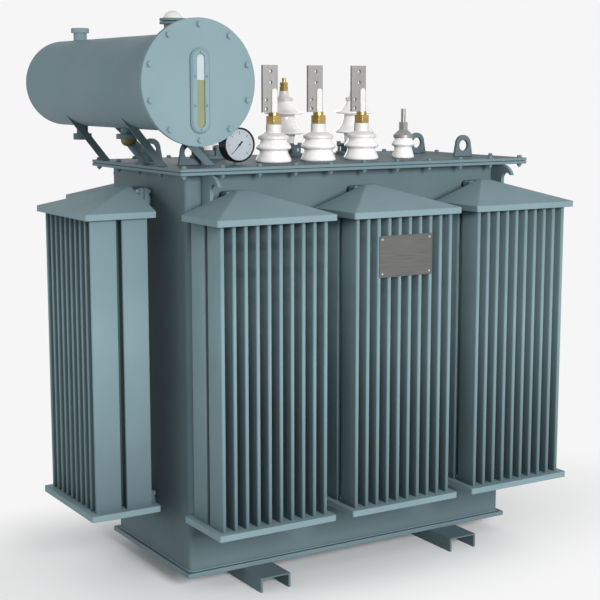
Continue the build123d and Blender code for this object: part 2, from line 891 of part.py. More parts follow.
make_skids()
make_tank()
radiators = radiator_seats()
for place, seat in radiators.items():
    make_headers(place, seat)
    make_tubes(place, seat)
make_flanges(radiators)
make_hooks()
make_eyes()
make_drum()
make_gauge()
make_drum_fittings()
make_oil_pipe()
make_struts()
make_lv_bushings()
make_neutral_bushing()
make_hv_bushings()
make_thermometer()
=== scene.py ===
"""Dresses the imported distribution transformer: flat tubes, glazed bushings, bolts, welds and finishes.

Everything is in the row frame, in metres: X along the tank, -Y the low-voltage side, Z up. Sizes are
named in millimetres and turned to metres where a mesh is made.
"""

from __future__ import annotations

import json
import logging
import math
from collections.abc import Sequence
from dataclasses import dataclass, field
from enum import Enum

import bmesh
import bpy
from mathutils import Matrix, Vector

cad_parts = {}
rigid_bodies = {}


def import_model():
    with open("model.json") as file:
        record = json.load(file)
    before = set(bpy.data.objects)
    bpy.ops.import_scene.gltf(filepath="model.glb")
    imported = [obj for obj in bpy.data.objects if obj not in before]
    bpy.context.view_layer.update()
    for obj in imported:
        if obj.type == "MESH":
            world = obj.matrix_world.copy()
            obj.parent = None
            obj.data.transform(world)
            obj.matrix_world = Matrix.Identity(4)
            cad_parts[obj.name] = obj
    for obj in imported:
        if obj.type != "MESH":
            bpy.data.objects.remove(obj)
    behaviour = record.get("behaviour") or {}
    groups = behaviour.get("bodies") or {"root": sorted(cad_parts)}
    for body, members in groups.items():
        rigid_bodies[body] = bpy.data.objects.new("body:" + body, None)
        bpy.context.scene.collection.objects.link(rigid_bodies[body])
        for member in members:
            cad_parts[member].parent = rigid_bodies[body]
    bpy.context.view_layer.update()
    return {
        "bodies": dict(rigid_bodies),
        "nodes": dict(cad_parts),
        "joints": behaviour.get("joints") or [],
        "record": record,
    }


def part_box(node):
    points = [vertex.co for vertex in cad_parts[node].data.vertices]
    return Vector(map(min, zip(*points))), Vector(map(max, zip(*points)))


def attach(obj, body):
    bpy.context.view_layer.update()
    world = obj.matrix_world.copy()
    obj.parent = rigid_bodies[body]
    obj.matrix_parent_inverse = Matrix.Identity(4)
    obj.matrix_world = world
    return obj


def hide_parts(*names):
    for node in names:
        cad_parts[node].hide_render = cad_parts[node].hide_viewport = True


log = logging.getLogger("transformer")

MM = 0.001
MERGE_DISTANCE = 0.01 * MM
BODY = "root"
UP = Vector((0, 0, 1))
FRONT = Vector((0, -1, 0))
EVEN = (1.0, 1.0, 1.0)
HEXAGON = 6
# Angles up to which an edge is shaded smooth, by how a piece was made
CUT_DEG = 30.0
TURNED_DEG = 40.0
GLAZED_DEG = 50.0

Place = tuple[Vector, Vector]
Outline = Sequence[tuple[float, float]]
Material = bpy.types.Material
Tree = bpy.types.NodeTree
Node = bpy.types.Node
Socket = bpy.types.NodeSocket
Piece = bpy.types.Object
Mesh = bpy.types.Mesh
Form = bmesh.types.BMesh


def linear(code: str) -> tuple[float, float, float, float]:
    """Turns an sRGB hex colour into linear values.

    Args:
        code: Colour as six hex digits after a hash sign.

    Returns:
        Red, green, blue and a full alpha.
    """
    shares = [int(code[i : i + 2], 16) / 255 for i in (1, 3, 5)]
    values = [c / 12.92 if c <= 0.04045 else ((c + 0.055) / 1.055) ** 2.4 for c in shares]
    return values[0], values[1], values[2], 1.0


def per_metre(size_mm: float) -> float:
    """Gives the scale at which a pattern on Object coordinates repeats every size_mm."""
    return 1 / (size_mm * MM)


def in_metres(outline_mm: Outline) -> list[tuple[float, float]]:
    """Turns an outline from millimetres to metres."""
    return [(across * MM, rise * MM) for across, rise in outline_mm]


def connect(tree: Tree, node: Node, inputs: dict) -> None:
    """Sets a node's inputs.

    Args:
        tree: Tree that holds the node.
        node: The node.
        inputs: Values or sockets to link, by the input's name or number. A list links several sockets.
    """
    for key, value in inputs.items():
        for item in value if isinstance(value, list) else [value]:
            if isinstance(item, Socket):
                tree.links.new(item, node.inputs[key])
            else:
                node.inputs[key].default_value = item


def add_node(tree: Tree, kind: str, inputs: dict | None = None, settings: dict | None = None) -> Node:
    """Adds a node, with its settings and its inputs.

    Args:
        tree: Tree that the node goes into.
        kind: Type name of the node.
        inputs: Values or sockets to link, as for connect.
        settings: Properties of the node.

    Returns:
        The new node.
    """
    node = tree.nodes.new(kind)
    for key, value in (settings or {}).items():
        setattr(node, key, value)
    connect(tree, node, inputs or {})
    return node


@dataclass(frozen=True)
class Finish:
    """One real material: two tones that a pattern of a real size mixes, dulls and raises."""

    name: str
    colour: str
    tone: str
    roughness: float
    pattern_mm: float
    metallic: float = 0.0
    specular: float = 0.5
    stretch: tuple[float, float, float] = EVEN
    detail: float = 2.0
    break_up: float = 0.5
    contrast: tuple[float, float] = (0.0, 1.0)
    dulling: tuple[float, float] = (0.0, 0.0)
    coat: float = 0.0
    coat_roughness: float = 0.03
    relief: float = 0.0
    relief_depth_mm: float = 0.0
    relief_mm: float = 0.0

    def with_painted_shade(self, tree: Tree, colour: Socket) -> Socket:
        """Gives the colour with its painted shade, here none."""
        return colour

    def raised(self, tree: Tree, place: Socket, pattern: Socket) -> Socket:
        """Gives the normal of the surface's fine relief.

        Args:
            tree: The material's tree.
            place: Coordinates that a relief of its own size reads.
            pattern: The tones' pattern, which is the relief where it has no size of its own.

        Returns:
            The bent normal.
        """
        if self.relief_mm:
            inputs = {"Vector": place, "Scale": per_metre(self.relief_mm), "Detail": 1.0}
            pattern = add_node(tree, "ShaderNodeTexNoise", inputs).outputs["Fac"]
        inputs = {"Strength": self.relief, "Distance": self.relief_depth_mm * MM, "Height": pattern}
        return add_node(tree, "ShaderNodeBump", inputs).outputs["Normal"]

    def make(self) -> Material:
        """Builds the material.

        Returns:
            The material, whose pattern reads the piece's own coordinates.
        """
        material = bpy.data.materials.new(self.name)
        material.use_nodes = True
        tree = material.node_tree
        source = add_node(tree, "ShaderNodeTexCoord")
        inputs = {"Vector": source.outputs["Object"], "Scale": Vector(self.stretch)}
        place = add_node(tree, "ShaderNodeMapping", inputs).outputs["Vector"]
        inputs = {"Vector": place, "Scale": per_metre(self.pattern_mm)}
        inputs |= {"Detail": self.detail, "Roughness": self.break_up}
        pattern = add_node(tree, "ShaderNodeTexNoise", inputs).outputs["Fac"]
        inputs = {"Value": pattern, "From Min": self.contrast[0], "From Max": self.contrast[1]}
        share = add_node(tree, "ShaderNodeMapRange", inputs).outputs["Result"]
        inputs = {"Factor": share, 6: linear(self.colour), 7: linear(self.tone)}
        mix = add_node(tree, "ShaderNodeMix", inputs, {"data_type": "RGBA"})
        low, high = (self.roughness + change for change in self.dulling)
        gloss = add_node(tree, "ShaderNodeMapRange", {"Value": pattern, "To Min": low, "To Max": high})
        looks = {
            "Base Color": self.with_painted_shade(tree, mix.outputs[2]),
            "Metallic": self.metallic,
            "Roughness": gloss.outputs["Result"],
            "Specular IOR Level": self.specular,
            "Coat Weight": self.coat,
            "Coat Roughness": self.coat_roughness,
        }
        if self.relief:
            looks["Normal"] = self.raised(tree, place, pattern)
        connect(tree, tree.nodes["Principled BSDF"], looks)
        return material


@dataclass(frozen=True)
class SprayedEnamel(Finish):
    """Satin enamel sprayed on steel: even, with soft clouds of tone and a fine orange peel."""

    specular: float = 0.07
    detail: float = 3.0
    break_up: float = 0.55
    contrast: tuple[float, float] = (0.32, 0.68)
    dulling: tuple[float, float] = (-0.05, 0.07)
    relief: float = 0.3
    relief_depth_mm: float = 0.12
    # Real orange peel is about 2 mm wide; it is drawn wider, because that is too fine to show
    relief_mm: float = 9.0
    top_shade: float = 0.0
    top_shade_colour: str = "#1c2123"
    level_from: float = 0.9

    def with_painted_shade(self, tree: Tree, colour: Socket) -> Socket:
        """Darkens level tops towards a dark colour, as painted shade.

        Args:
            tree: The material's tree.
            colour: Colour of the clean enamel.

        Returns:
            The colour with its painted shade on level tops.
        """
        if not self.top_shade:
            return colour
        # Painted shade: faces that look up are mixed towards a dark colour
        facing = add_node(tree, "ShaderNodeNewGeometry")
        parts = add_node(tree, "ShaderNodeSeparateXYZ", {"Vector": facing.outputs["Normal"]})
        inputs = {"Value": parts.outputs["Z"], "From Min": self.level_from, "To Max": self.top_shade}
        share = add_node(tree, "ShaderNodeMapRange", inputs)
        inputs = {"Factor": share.outputs["Result"], 6: colour, 7: linear(self.top_shade_colour)}
        return add_node(tree, "ShaderNodeMix", inputs, {"data_type": "RGBA"}).outputs[2]


@dataclass(frozen=True)
class GlazedPorcelain(Finish):
    """Fired porcelain under clear glaze: white, deep gloss, with faint warm pools in the glaze."""

    coat: float = 0.7
    coat_roughness: float = 0.05
    relief: float = 0.12
    relief_depth_mm: float = 0.3


@dataclass(frozen=True)
class Grained(Finish):
    """Bare metal or sheet with a grain: fine marks from drawing, brushing, turning or casting."""

    stretch: tuple[float, float, float] = (1.0, 1.0, 0.04)
    detail: float = 3.0
    contrast: tuple[float, float] = (0.3, 0.7)
    dulling: tuple[float, float] = (-0.08, 0.1)
    relief: float = 0.25
    relief_depth_mm: float = 0.05


@dataclass(frozen=True)
class MouldedGloss(Finish):
    """Moulded or stove-enamelled gloss: one colour with a slow drift of tone and a clear coat."""

    coat: float = 0.4
    coat_roughness: float = 0.08


# Satin machinery enamel in blue grey, even and low in gloss, with painted shade on the tank's level tops
TANK_PAINT = SprayedEnamel("satin_enamel_tank", "#6b7f85", "#657980", 0.55, 320.0, top_shade=0.45)
# The same enamel a shade deeper, as painted shade, on the plain wall under the cover, the skids and the bare
# fittings under the conservator
SHADED_WALL_PAINT = SprayedEnamel("satin_enamel_wall_painted_shade", "#5f7176", "#5a6b71", 0.55, 320.0)
# A lighter coat of it on the radiators: painted light, where their narrow faces shade each other
LIT_RADIATOR_PAINT = SprayedEnamel("satin_enamel_radiators_painted_light", "#778d93", "#71878d", 0.55, 280.0)
# The light coat again on the conservator's cover and fittings, as painted light
LIT_CONSERVATOR_PAINT = SprayedEnamel("satin_enamel_conservator_painted_light", "#778c92", "#72878d", 0.55, 300.0)
# The rolled drum behind the cover, between the two in tone: painted shade, darker than the cover's enamel
SHADED_SHELL_PAINT = SprayedEnamel("satin_enamel_shell_painted_shade", "#70848b", "#6b7f87", 0.55, 300.0)
# Oil-proof nitrile sheet, cut flush and matt
GASKET = Grained("nitrile_sheet", "#2c3335", "#22282a", 0.75, 5.0, stretch=EVEN)
# Mineral oil behind the sight glass, amber green and glossy
OIL = MouldedGloss("mineral_oil_behind_glass", "#7d8462", "#737a57", 0.2, 60.0, coat=0.3)
# Opal sight glass over a white backing, pale and bright
SIGHT_GLASS = MouldedGloss("opal_sight_glass", "#a8b5ba", "#9fadb3", 0.15, 50.0, coat=0.3)
# Pressed pale plastic dome, glossy
PALE_CAP = MouldedGloss("moulded_pale_cap", "#c6ccc2", "#bcc3b8", 0.25, 40.0)
# White electrical porcelain with clear glaze, warm, and toned a little darker on the low-voltage side as
# painted shade
PORCELAIN = GlazedPorcelain("glazed_porcelain", "#eae9e8", "#e3dfde", 0.18, 45.0)
# The same porcelain nearly pure white on the high-voltage bushings, as painted light where the low-voltage
# terminals shade them
LIT_PORCELAIN = GlazedPorcelain("glazed_porcelain_painted_light", "#f1f0ef", "#eae7e6", 0.18, 45.0)
# Painted cast iron, dull and a little gritty
CASTING = SprayedEnamel(
    "painted_casting", "#65767a", "#5a6a6d", 0.6, 60.0, specular=0.1, relief_mm=6.0, relief_depth_mm=0.3
)
# Extruded aluminium with drawing lines along its length
ALUMINIUM = Grained("drawn_aluminium", "#969594", "#878685", 0.45, 4.0, metallic=0.6)
# Pale cast alloy of the bushings' caps and collars, dull and close to the porcelain in tone; the same finish
# is the painted highlight on the low-voltage spines
PALE_CASTING_AND_HIGHLIGHT = Grained("pale_cast_alloy_and_highlight", "#d8d6d4", "#cbc8c6", 0.5, 8.0, metallic=0.1, stretch=EVEN)
# Brass painted dark and olive, as painted shade where the valve sits under the conservator
SHADED_BRASS = Grained(
    "brass_painted_shade", "#6e6433", "#5c5328", 0.5, 6.0, metallic=0.6, stretch=(0.2, 0.2, 1.0)
)
# Turned brass, warm and clean on its flats
BRASS = Grained("turned_brass", "#b69e6a", "#9f8550", 0.32, 4.0, metallic=0.9, stretch=(0.1, 0.1, 1.0))
# Black stoved enamel of the instrument's case, deep with a soft sheen
BLACK_ENAMEL = MouldedGloss(
    "black_stoved_enamel", "#0b0c0d", "#101214", 0.35, 60.0, specular=0.25, coat=0.08
)
# White tin of the dial, cool in tone and only half bright
DIAL_WHITE = MouldedGloss("white_dial_tin", "#a4abb2", "#9ca4ac", 0.4, 40.0, specular=0.3, coat=0.1)
# Zinc-plated steel of the flange bolts and the rivets, pale grey and half bright
ZINC = Grained("zinc_plate", "#a9b3b5", "#98a3a6", 0.45, 6.0, metallic=0.5, stretch=EVEN)
# Brushed stainless sheet with the brush marks lying across
BRUSHED_STEEL = Grained(
    "brushed_stainless", "#646463", "#525251", 0.45, 3.0, metallic=0.5, stretch=(0.03, 1.0, 1.0)
)

SLOT_FINISHES: dict[str, Finish] = {
    "tank_paint": TANK_PAINT,
    "radiator_paint": LIT_RADIATOR_PAINT,
    "conservator_paint": LIT_CONSERVATOR_PAINT,
    "gasket_rubber": GASKET,
    "gauge_oil": OIL,
    "gauge_glass": SIGHT_GLASS,
    "pale_cap": PALE_CAP,
    "porcelain": PORCELAIN,
    "grey_casting": CASTING,
    "aluminium": ALUMINIUM,
    "brass": BRASS,
    "black_enamel": BLACK_ENAMEL,
    "dial_white": DIAL_WHITE,
}

NODE_FINISHES: dict[str, Finish] = {
    # Painted shade: the wall, the skids and the fittings under the conservator take the darker enamel
    "tank_wall": SHADED_WALL_PAINT,
    "skids": SHADED_WALL_PAINT,
    "lifting_eyes": SHADED_WALL_PAINT,
    "conservator_struts": SHADED_WALL_PAINT,
    "drain_stub": SHADED_WALL_PAINT,
    "pipe_stub": SHADED_WALL_PAINT,
    "oil_pipe": SHADED_WALL_PAINT,
    "vent_neck": SHADED_WALL_PAINT,
    # Painted shade: the drum takes a darker enamel than its cover
    "conservator_shell": SHADED_SHELL_PAINT,
    "conservator_back": SHADED_SHELL_PAINT,
    "lv_collars": PALE_CASTING_AND_HIGHLIGHT,
    # Painted shade: the oil valve takes the darkened brass
    "oil_valve": SHADED_BRASS,
    "thermometer_pocket": CASTING,
}

EDGE_WIDTHS_MM: dict[float, tuple[str, ...]] = {
    5.0: ("radiator_headers",),
    3.5: ("thermometer_case",),
    3.0: ("base_plate", "lv_collars"),
    2.5: ("skids", "lifting_eyes", "radiator_flanges", "hv_flanges"),
    2.0: ("cover_plate", "tank_rim", "lifting_hooks", "drain_stub", "pipe_stub", "lv_nuts"),
    1.5: ("conservator_flange", "gauge_frame", "conservator_struts", "vent_neck", "neutral_terminal"),
    1.2: ("lv_terminals",),
    1.0: ("thermometer_pocket",),
}


class Palette:
    """Builds each finish once and hands it out."""

    def __init__(self) -> None:
        """Starts with nothing built."""
        self.made: dict[str, Material] = {}

    def of(self, finish: Finish) -> Material:
        """Gives the material of a finish.

        Args:
            finish: The finish.

        Returns:
            Its one material.
        """
        if finish.name not in self.made:
            self.made[finish.name] = finish.make()
        return self.made[finish.name]


def apply_modifier(piece: Piece, modifier: bpy.types.Modifier) -> None:
    """Makes a modifier's result the piece's plain mesh, and removes the modifier.

    Args:
        piece: The piece, which keeps its name.
        modifier: Its only modifier.
    """
    graph = bpy.context.evaluated_depsgraph_get()
    mesh = bpy.data.meshes.new_from_object(piece.evaluated_get(graph))
    piece.modifiers.remove(modifier)
    piece.data = mesh
    mesh.name = piece.name


@dataclass
class NodeShape:
    """A Geometry Nodes tree with named sizes, whose result becomes a plain mesh."""

    name: str
    sizes: dict[str, str]
    tree: Tree = field(init=False)
    source: Node = field(init=False)

    def __post_init__(self) -> None:
        """Opens the tree with its named inputs."""
        self.tree = bpy.data.node_groups.new(self.name, "GeometryNodeTree")
        kinds = {"Geometry": "Geometry", **self.sizes, "Finish": "Material"}
        for name, kind in kinds.items():
            self.tree.interface.new_socket(name=name, in_out="INPUT", socket_type=f"NodeSocket{kind}")
        self.tree.interface.new_socket(name="Geometry", in_out="OUTPUT", socket_type="NodeSocketGeometry")
        self.source = add_node(self.tree, "NodeGroupInput")

    def size(self, name: str) -> Socket:
        """Gives the socket of a named size."""
        return self.source.outputs[name]

    def add(self, kind: str, inputs: dict | None = None, settings: dict | None = None) -> Socket:
        """Adds a node to the tree and gives its first output."""
        return add_node(self.tree, kind, inputs, settings).outputs[0]

    def sum_of(self, *terms: tuple[float, Socket]) -> Socket:
        """Adds up sizes, each times a factor.

        Args:
            terms: Factor and size of each term.

        Returns:
            The sum.
        """
        total = None
        for factor, size in terms:
            inputs = {0: size, 1: factor} if total is None else {0: size, 1: factor, 2: total}
            operation = "MULTIPLY" if total is None else "MULTIPLY_ADD"
            total = self.add("ShaderNodeMath", inputs, {"operation": operation})
        return total

    def on_points(self, form: Socket) -> Socket:
        """Sets copies of a form on the base's points, each turned to its point's axis.

        Args:
            form: The form, upright at the origin.

        Returns:
            The copies, as instances.
        """
        axis = self.add("GeometryNodeInputNamedAttribute", {"Name": "axis"}, {"data_type": "FLOAT_VECTOR"})
        turn = self.add("FunctionNodeAlignRotationToVector", {"Vector": axis}, {"axis": "Z"})
        inputs = {"Points": self.size("Geometry"), "Instance": form, "Rotation": turn}
        return self.add("GeometryNodeInstanceOnPoints", inputs)

    def close(self, geometry: Socket, smooth: bool) -> None:
        """Ends the tree: real geometry, shaded and with its finish.

        Args:
            geometry: What the tree has made.
            smooth: Whether its faces are shaded smooth.
        """
        real = self.add("GeometryNodeRealizeInstances", {"Geometry": geometry})
        shaded = self.add("GeometryNodeSetShadeSmooth", {"Geometry": real, "Shade Smooth": smooth})
        inputs = {"Geometry": shaded, "Material": self.size("Finish")}
        dressed = self.add("GeometryNodeSetMaterial", inputs)
        add_node(self.tree, "NodeGroupOutput", {"Geometry": dressed})

    def make(self, name: str, base: Mesh, finish: Material, sizes: dict[str, object]) -> Piece:
        """Runs the tree once.

        Args:
            name: Name of the piece.
            base: Mesh that the tree starts from.
            finish: Material of the piece.
            sizes: Values of the named sizes.

        Returns:
            An object with a plain mesh.
        """
        piece = bpy.data.objects.new(name, base)
        modifier = piece.modifiers.new(self.name, "NODES")
        modifier.node_group = self.tree
        values = {**sizes, "Finish": finish}
        for item in self.tree.interface.items_tree:
            if item.in_out == "INPUT" and item.name in values:
                modifier[item.identifier] = values[item.name]
        bpy.context.scene.collection.objects.link(piece)
        apply_modifier(piece, modifier)
        return piece


def tube_shape() -> NodeShape:
    """Builds the tree for a bank of flat tubes with round edges.

    Returns:
        The tree, whose Foot is the bank's middle at its lower end.
    """
    floats = ("Thickness", "Width", "Edge radius", "Length", "Row pitch", "Column pitch")
    others = {"Rows": "Int", "Columns": "Int", "Foot": "Vector", "Turn": "Vector"}
    shape = NodeShape("flat_tube_bank", dict.fromkeys(floats, "Float") | others)
    thickness, width, edge, length, *pitches = (shape.size(name) for name in floats)
    counts = [shape.size("Rows"), shape.size("Columns")]
    inputs = {"Width": thickness, "Height": width}
    outline = shape.add("GeometryNodeCurvePrimitiveQuadrilateral", inputs, {"mode": "RECTANGLE"})
    inputs = {"Curve": outline, "Count": 5, "Radius": edge, "Limit Radius": True}
    rounded = shape.add("GeometryNodeFilletCurve", inputs, {"mode": "POLY"})
    filled = shape.add("GeometryNodeFillCurve", {"Curve": rounded}, {"mode": "NGONS"})
    inputs = {"Mesh": filled, "Offset Scale": length, "Individual": False}
    pulled = shape.add("GeometryNodeExtrudeMesh", inputs, {"mode": "FACES"})
    under = shape.add("GeometryNodeFlipFaces", {"Mesh": filled})
    both = shape.add("GeometryNodeJoinGeometry", {"Geometry": [pulled, under]})
    tube = shape.add("GeometryNodeMergeByDistance", {"Geometry": both, "Distance": MERGE_DISTANCE})
    spans = []
    for count, pitch in zip(counts, pitches):
        gaps = shape.add("ShaderNodeMath", {0: count, 1: 1.0}, {"operation": "SUBTRACT"})
        spans.append(shape.add("ShaderNodeMath", {0: gaps, 1: pitch}, {"operation": "MULTIPLY"}))
    inputs = {"Size X": spans[0], "Size Y": spans[1], "Vertices X": counts[0], "Vertices Y": counts[1]}
    grid = shape.add("GeometryNodeMeshGrid", inputs)
    bank = shape.add("GeometryNodeInstanceOnPoints", {"Points": grid, "Instance": tube})
    inputs = {"Geometry": bank, "Translation": shape.size("Foot"), "Rotation": shape.size("Turn")}
    shape.close(shape.add("GeometryNodeTransform", inputs), smooth=True)
    return shape


def bolt_shape() -> NodeShape:
    """Builds the tree that sets hexagon bolts, with washers and nuts, on points with an axis.

    Returns:
        The tree, whose bolts have a nut, at the grip's far end, only where Nut is true.
    """
    floats = ("Across", "Head", "Washer radius", "Washer", "Grip", "End")
    shape = NodeShape("hexagon_bolts", dict.fromkeys(floats, "Float") | {"Nut": "Bool", "Seed": "Int"})
    across, head, rim, washer, grip, end = (shape.size(name) for name in floats)
    crown_share, crown_depth_share, shank_share = 0.46, 0.16, 0.3
    washer_sides, crown_sides, shank_sides = 18, 12, 10

    def drum(sides: int, radius: Socket, depth: Socket, *middle: tuple[float, Socket]) -> Socket:
        """Makes an upright prism whose middle is at a sum of sizes.

        Args:
            sides: Number of its sides.
            radius: Radius to its corners.
            depth: Its height.
            middle: Terms of its middle's height.

        Returns:
            The prism.
        """
        prism = shape.add("GeometryNodeMeshCylinder", {"Vertices": sides, "Radius": radius, "Depth": depth})
        lift = shape.add("ShaderNodeCombineXYZ", {"Z": shape.sum_of(*middle)})
        return shape.add("GeometryNodeTransform", {"Geometry": prism, "Translation": lift})

    corner = shape.sum_of((1 / math.sqrt(3), across))
    crown = shape.sum_of((crown_share, across))
    crown_depth = shape.sum_of((crown_depth_share, head))
    shank = shape.sum_of((shank_share, across))
    upper = [
        drum(washer_sides, rim, washer, (0.5, washer)),
        drum(HEXAGON, corner, head, (1.0, washer), (0.5, head)),
        drum(crown_sides, crown, crown_depth, (1.0, washer), (1 + crown_depth_share / 2, head)),
    ]
    lower = [
        drum(washer_sides, rim, washer, (-1.0, grip), (-0.5, washer)),
        drum(HEXAGON, corner, head, (-1.0, grip), (-1.0, washer), (-0.5, head)),
        drum(shank_sides, shank, end, (-1.0, grip), (-1.0, washer), (-1.0, head), (-0.5, end)),
    ]
    bolt = shape.add("GeometryNodeJoinGeometry", {"Geometry": upper})
    whole = shape.add("GeometryNodeJoinGeometry", {"Geometry": upper + lower})
    inputs = {"Switch": shape.size("Nut"), "False": bolt, "True": whole}
    chosen = shape.add("GeometryNodeSwitch", inputs, {"input_type": "GEOMETRY"})
    inputs = {2: 0.0, 3: math.pi / 3, 8: shape.size("Seed")}
    spin = add_node(shape.tree, "FunctionNodeRandomValue", inputs, {"data_type": "FLOAT"}).outputs[1]
    turn = shape.add("ShaderNodeCombineXYZ", {"Z": spin})
    turned = shape.add("FunctionNodeEulerToRotation", {"Euler": turn})
    inputs = {"Instances": shape.on_points(chosen), "Rotation": turned, "Local Space": True}
    shape.close(shape.add("GeometryNodeRotateInstances", inputs), smooth=False)
    return shape


def bead_shape() -> NodeShape:
    """Builds the tree that lays a rippled weld bead along edges.

    Returns:
        The tree, whose Ripple is a share of the bead's radius.
    """
    shape = NodeShape("weld_bead", dict.fromkeys(("Radius", "Step", "Ripple"), "Float"))
    path = shape.add("GeometryNodeMeshToCurve", {"Mesh": shape.size("Geometry")})
    inputs = {"Curve": path, "Length": shape.size("Step")}
    even = shape.add("GeometryNodeResampleCurve", inputs, {"mode": "LENGTH"})
    index = shape.add("GeometryNodeInputIndex")
    phase = shape.add("ShaderNodeMath", {0: index, 1: math.pi / 2}, {"operation": "MULTIPLY"})
    wave = shape.add("ShaderNodeMath", {0: phase}, {"operation": "SINE"})
    inputs = {0: wave, 1: shape.size("Ripple"), 2: 1.0}
    swell = shape.add("ShaderNodeMath", inputs, {"operation": "MULTIPLY_ADD"})
    inputs = {"Resolution": 8, "Radius": shape.size("Radius")}
    profile = shape.add("GeometryNodeCurvePrimitiveCircle", inputs, {"mode": "RADIUS"})
    inputs = {"Curve": even, "Profile Curve": profile, "Scale": swell, "Fill Caps": True}
    shape.close(shape.add("GeometryNodeCurveToMesh", inputs), smooth=True)
    return shape


def bar_shape() -> NodeShape:
    """Builds the tree that sets small bars on points, each along its axis.

    Returns:
        The tree, whose bars are square in section.
    """
    shape = NodeShape("square_bars", dict.fromkeys(("Width", "Length"), "Float"))
    width = shape.size("Width")
    extent = shape.add("ShaderNodeCombineXYZ", {"X": width, "Y": width, "Z": shape.size("Length")})
    bar = shape.add("GeometryNodeMeshCube", {"Size": extent})
    shape.close(shape.on_points(bar), smooth=False)
    return shape


def point_mesh(name: str, places: Sequence[Place]) -> Mesh:
    """Makes loose points that carry an axis each.

    Args:
        name: Name of the mesh.
        places: Point and axis of each place.

    Returns:
        The new mesh.
    """
    mesh = bpy.data.meshes.new(name)
    mesh.from_pydata([tuple(point) for point, _ in places], [], [])
    axis = mesh.attributes.new("axis", "FLOAT_VECTOR", "POINT")
    axis.data.foreach_set("vector", [value for _, way in places for value in way])
    return mesh


def ring_mesh(name: str, rings: Sequence[list[Vector]]) -> Mesh:
    """Makes edges along closed rings of points.

    Args:
        name: Name of the mesh.
        rings: Points of each ring, in order.

    Returns:
        The new mesh.
    """
    points: list[tuple[float, float, float]] = []
    edges: list[tuple[int, int]] = []
    for ring in rings:
        first = len(points)
        points += [tuple(point) for point in ring]
        edges += [(i, i + 1) for i in range(first, len(points) - 1)]
        edges.append((len(points) - 1, first))
    mesh = bpy.data.meshes.new(name)
    mesh.from_pydata(points, edges, [])
    return mesh


def mesh_object(name: str, shape: Form, finish: Material, sharp_deg: float) -> Piece:
    """Turns a bmesh into an object.

    Args:
        name: Name of the piece.
        shape: Its form, which is freed.
        finish: Material of the piece.
        sharp_deg: Angle up to which its edges are smooth.

    Returns:
        The new object.
    """
    mesh = bpy.data.meshes.new(name)
    shape.to_mesh(mesh)
    shape.free()
    mesh.polygons.foreach_set("use_smooth", [True] * len(mesh.polygons))
    mesh.set_sharp_from_angle(angle=math.radians(sharp_deg))
    mesh.materials.append(finish)
    piece = bpy.data.objects.new(name, mesh)
    bpy.context.scene.collection.objects.link(piece)
    return piece


def weigh_normals(piece: Piece) -> None:
    """Lets the large faces of a softened piece set the shading at its edges."""
    modifier = piece.modifiers.new("even_faces", "WEIGHTED_NORMAL")
    modifier.keep_sharp = True
    modifier.weight = 100
    apply_modifier(piece, modifier)


def settle(piece: Piece, slot: str | None, *nodes: str) -> None:
    """Puts a piece on the body and hides the nodes that it stands for.

    Args:
        piece: The finished piece.
        slot: Name of the record's slot, or None; not used.
        nodes: CAD nodes that the piece replaces.
    """
    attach(piece, BODY)
    if nodes:
        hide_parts(*nodes)
    log.info("piece %s: %d faces", piece.name, len(piece.data.polygons))


def circle_places(
    centre: Vector, radius: float, count: int, axis: Vector, across: Vector, start: float = 0.0
) -> list[Place]:
    """Gives places on a circle.

    Args:
        centre: Middle of the circle.
        radius: Radius in metres.
        count: How many places.
        axis: Way that the bolts point.
        across: Direction of the angle 0 in the circle's plane.
        start: Angle of the first place, in degrees.

    Returns:
        Points, each with the axis.
    """
    other = axis.cross(across)
    places = []
    for i in range(count):
        angle = math.radians(start + 360 * i / count)
        places.append((centre + radius * (math.cos(angle) * across + math.sin(angle) * other), axis))
    return places


def row_feet(node: str, radius: float, count: int) -> list[Vector]:
    """Gives the feet of the round forms that stand in a node's row along X.

    Args:
        node: Name of the CAD node.
        radius: Radius of each form, in metres.
        count: How many forms are in the row.

    Returns:
        The point under each form's middle.
    """
    low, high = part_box(node)
    step = (high.x - low.x - 2 * radius) / max(count - 1, 1)
    return [Vector((low.x + radius + step * i, (low.y + high.y) / 2, low.z)) for i in range(count)]


def rounded_outline(low: Vector, high: Vector, corner: float, level: float, steps: int = 6) -> list[Vector]:
    """Gives a rectangle's outline with rounded corners, at a level.

    Args:
        low: Its low corner.
        high: Its high corner.
        corner: Radius of its corners, in metres.
        level: Height of its points.
        steps: Steps in each corner.

    Returns:
        The points, in order.
    """
    points = []
    centres = (
        (high.x - corner, high.y - corner, 0),
        (low.x + corner, high.y - corner, 90),
        (low.x + corner, low.y + corner, 180),
        (high.x - corner, low.y + corner, 270),
    )
    for x, y, start in centres:
        for i in range(steps + 1):
            angle = math.radians(start + 90 * i / steps)
            points.append(Vector((x + corner * math.cos(angle), y + corner * math.sin(angle), level)))
    return points


def soften_outline(points: Outline, rounds: int) -> list[tuple[float, float]]:
    """Cuts the corners of an outline again and again, which leaves a smooth line with the same ends.

    Args:
        points: The outline.
        rounds: How often its corners are cut.

    Returns:
        The smooth outline.
    """
    line = list(points)
    for _ in range(rounds):
        cut = [line[0]]
        for (ax, ay), (bx, by) in zip(line, line[1:]):
            cut += [(ax + share * (bx - ax), ay + share * (by - ay)) for share in (0.25, 0.75)]
        cut.append(line[-1])
        line = cut
    return line


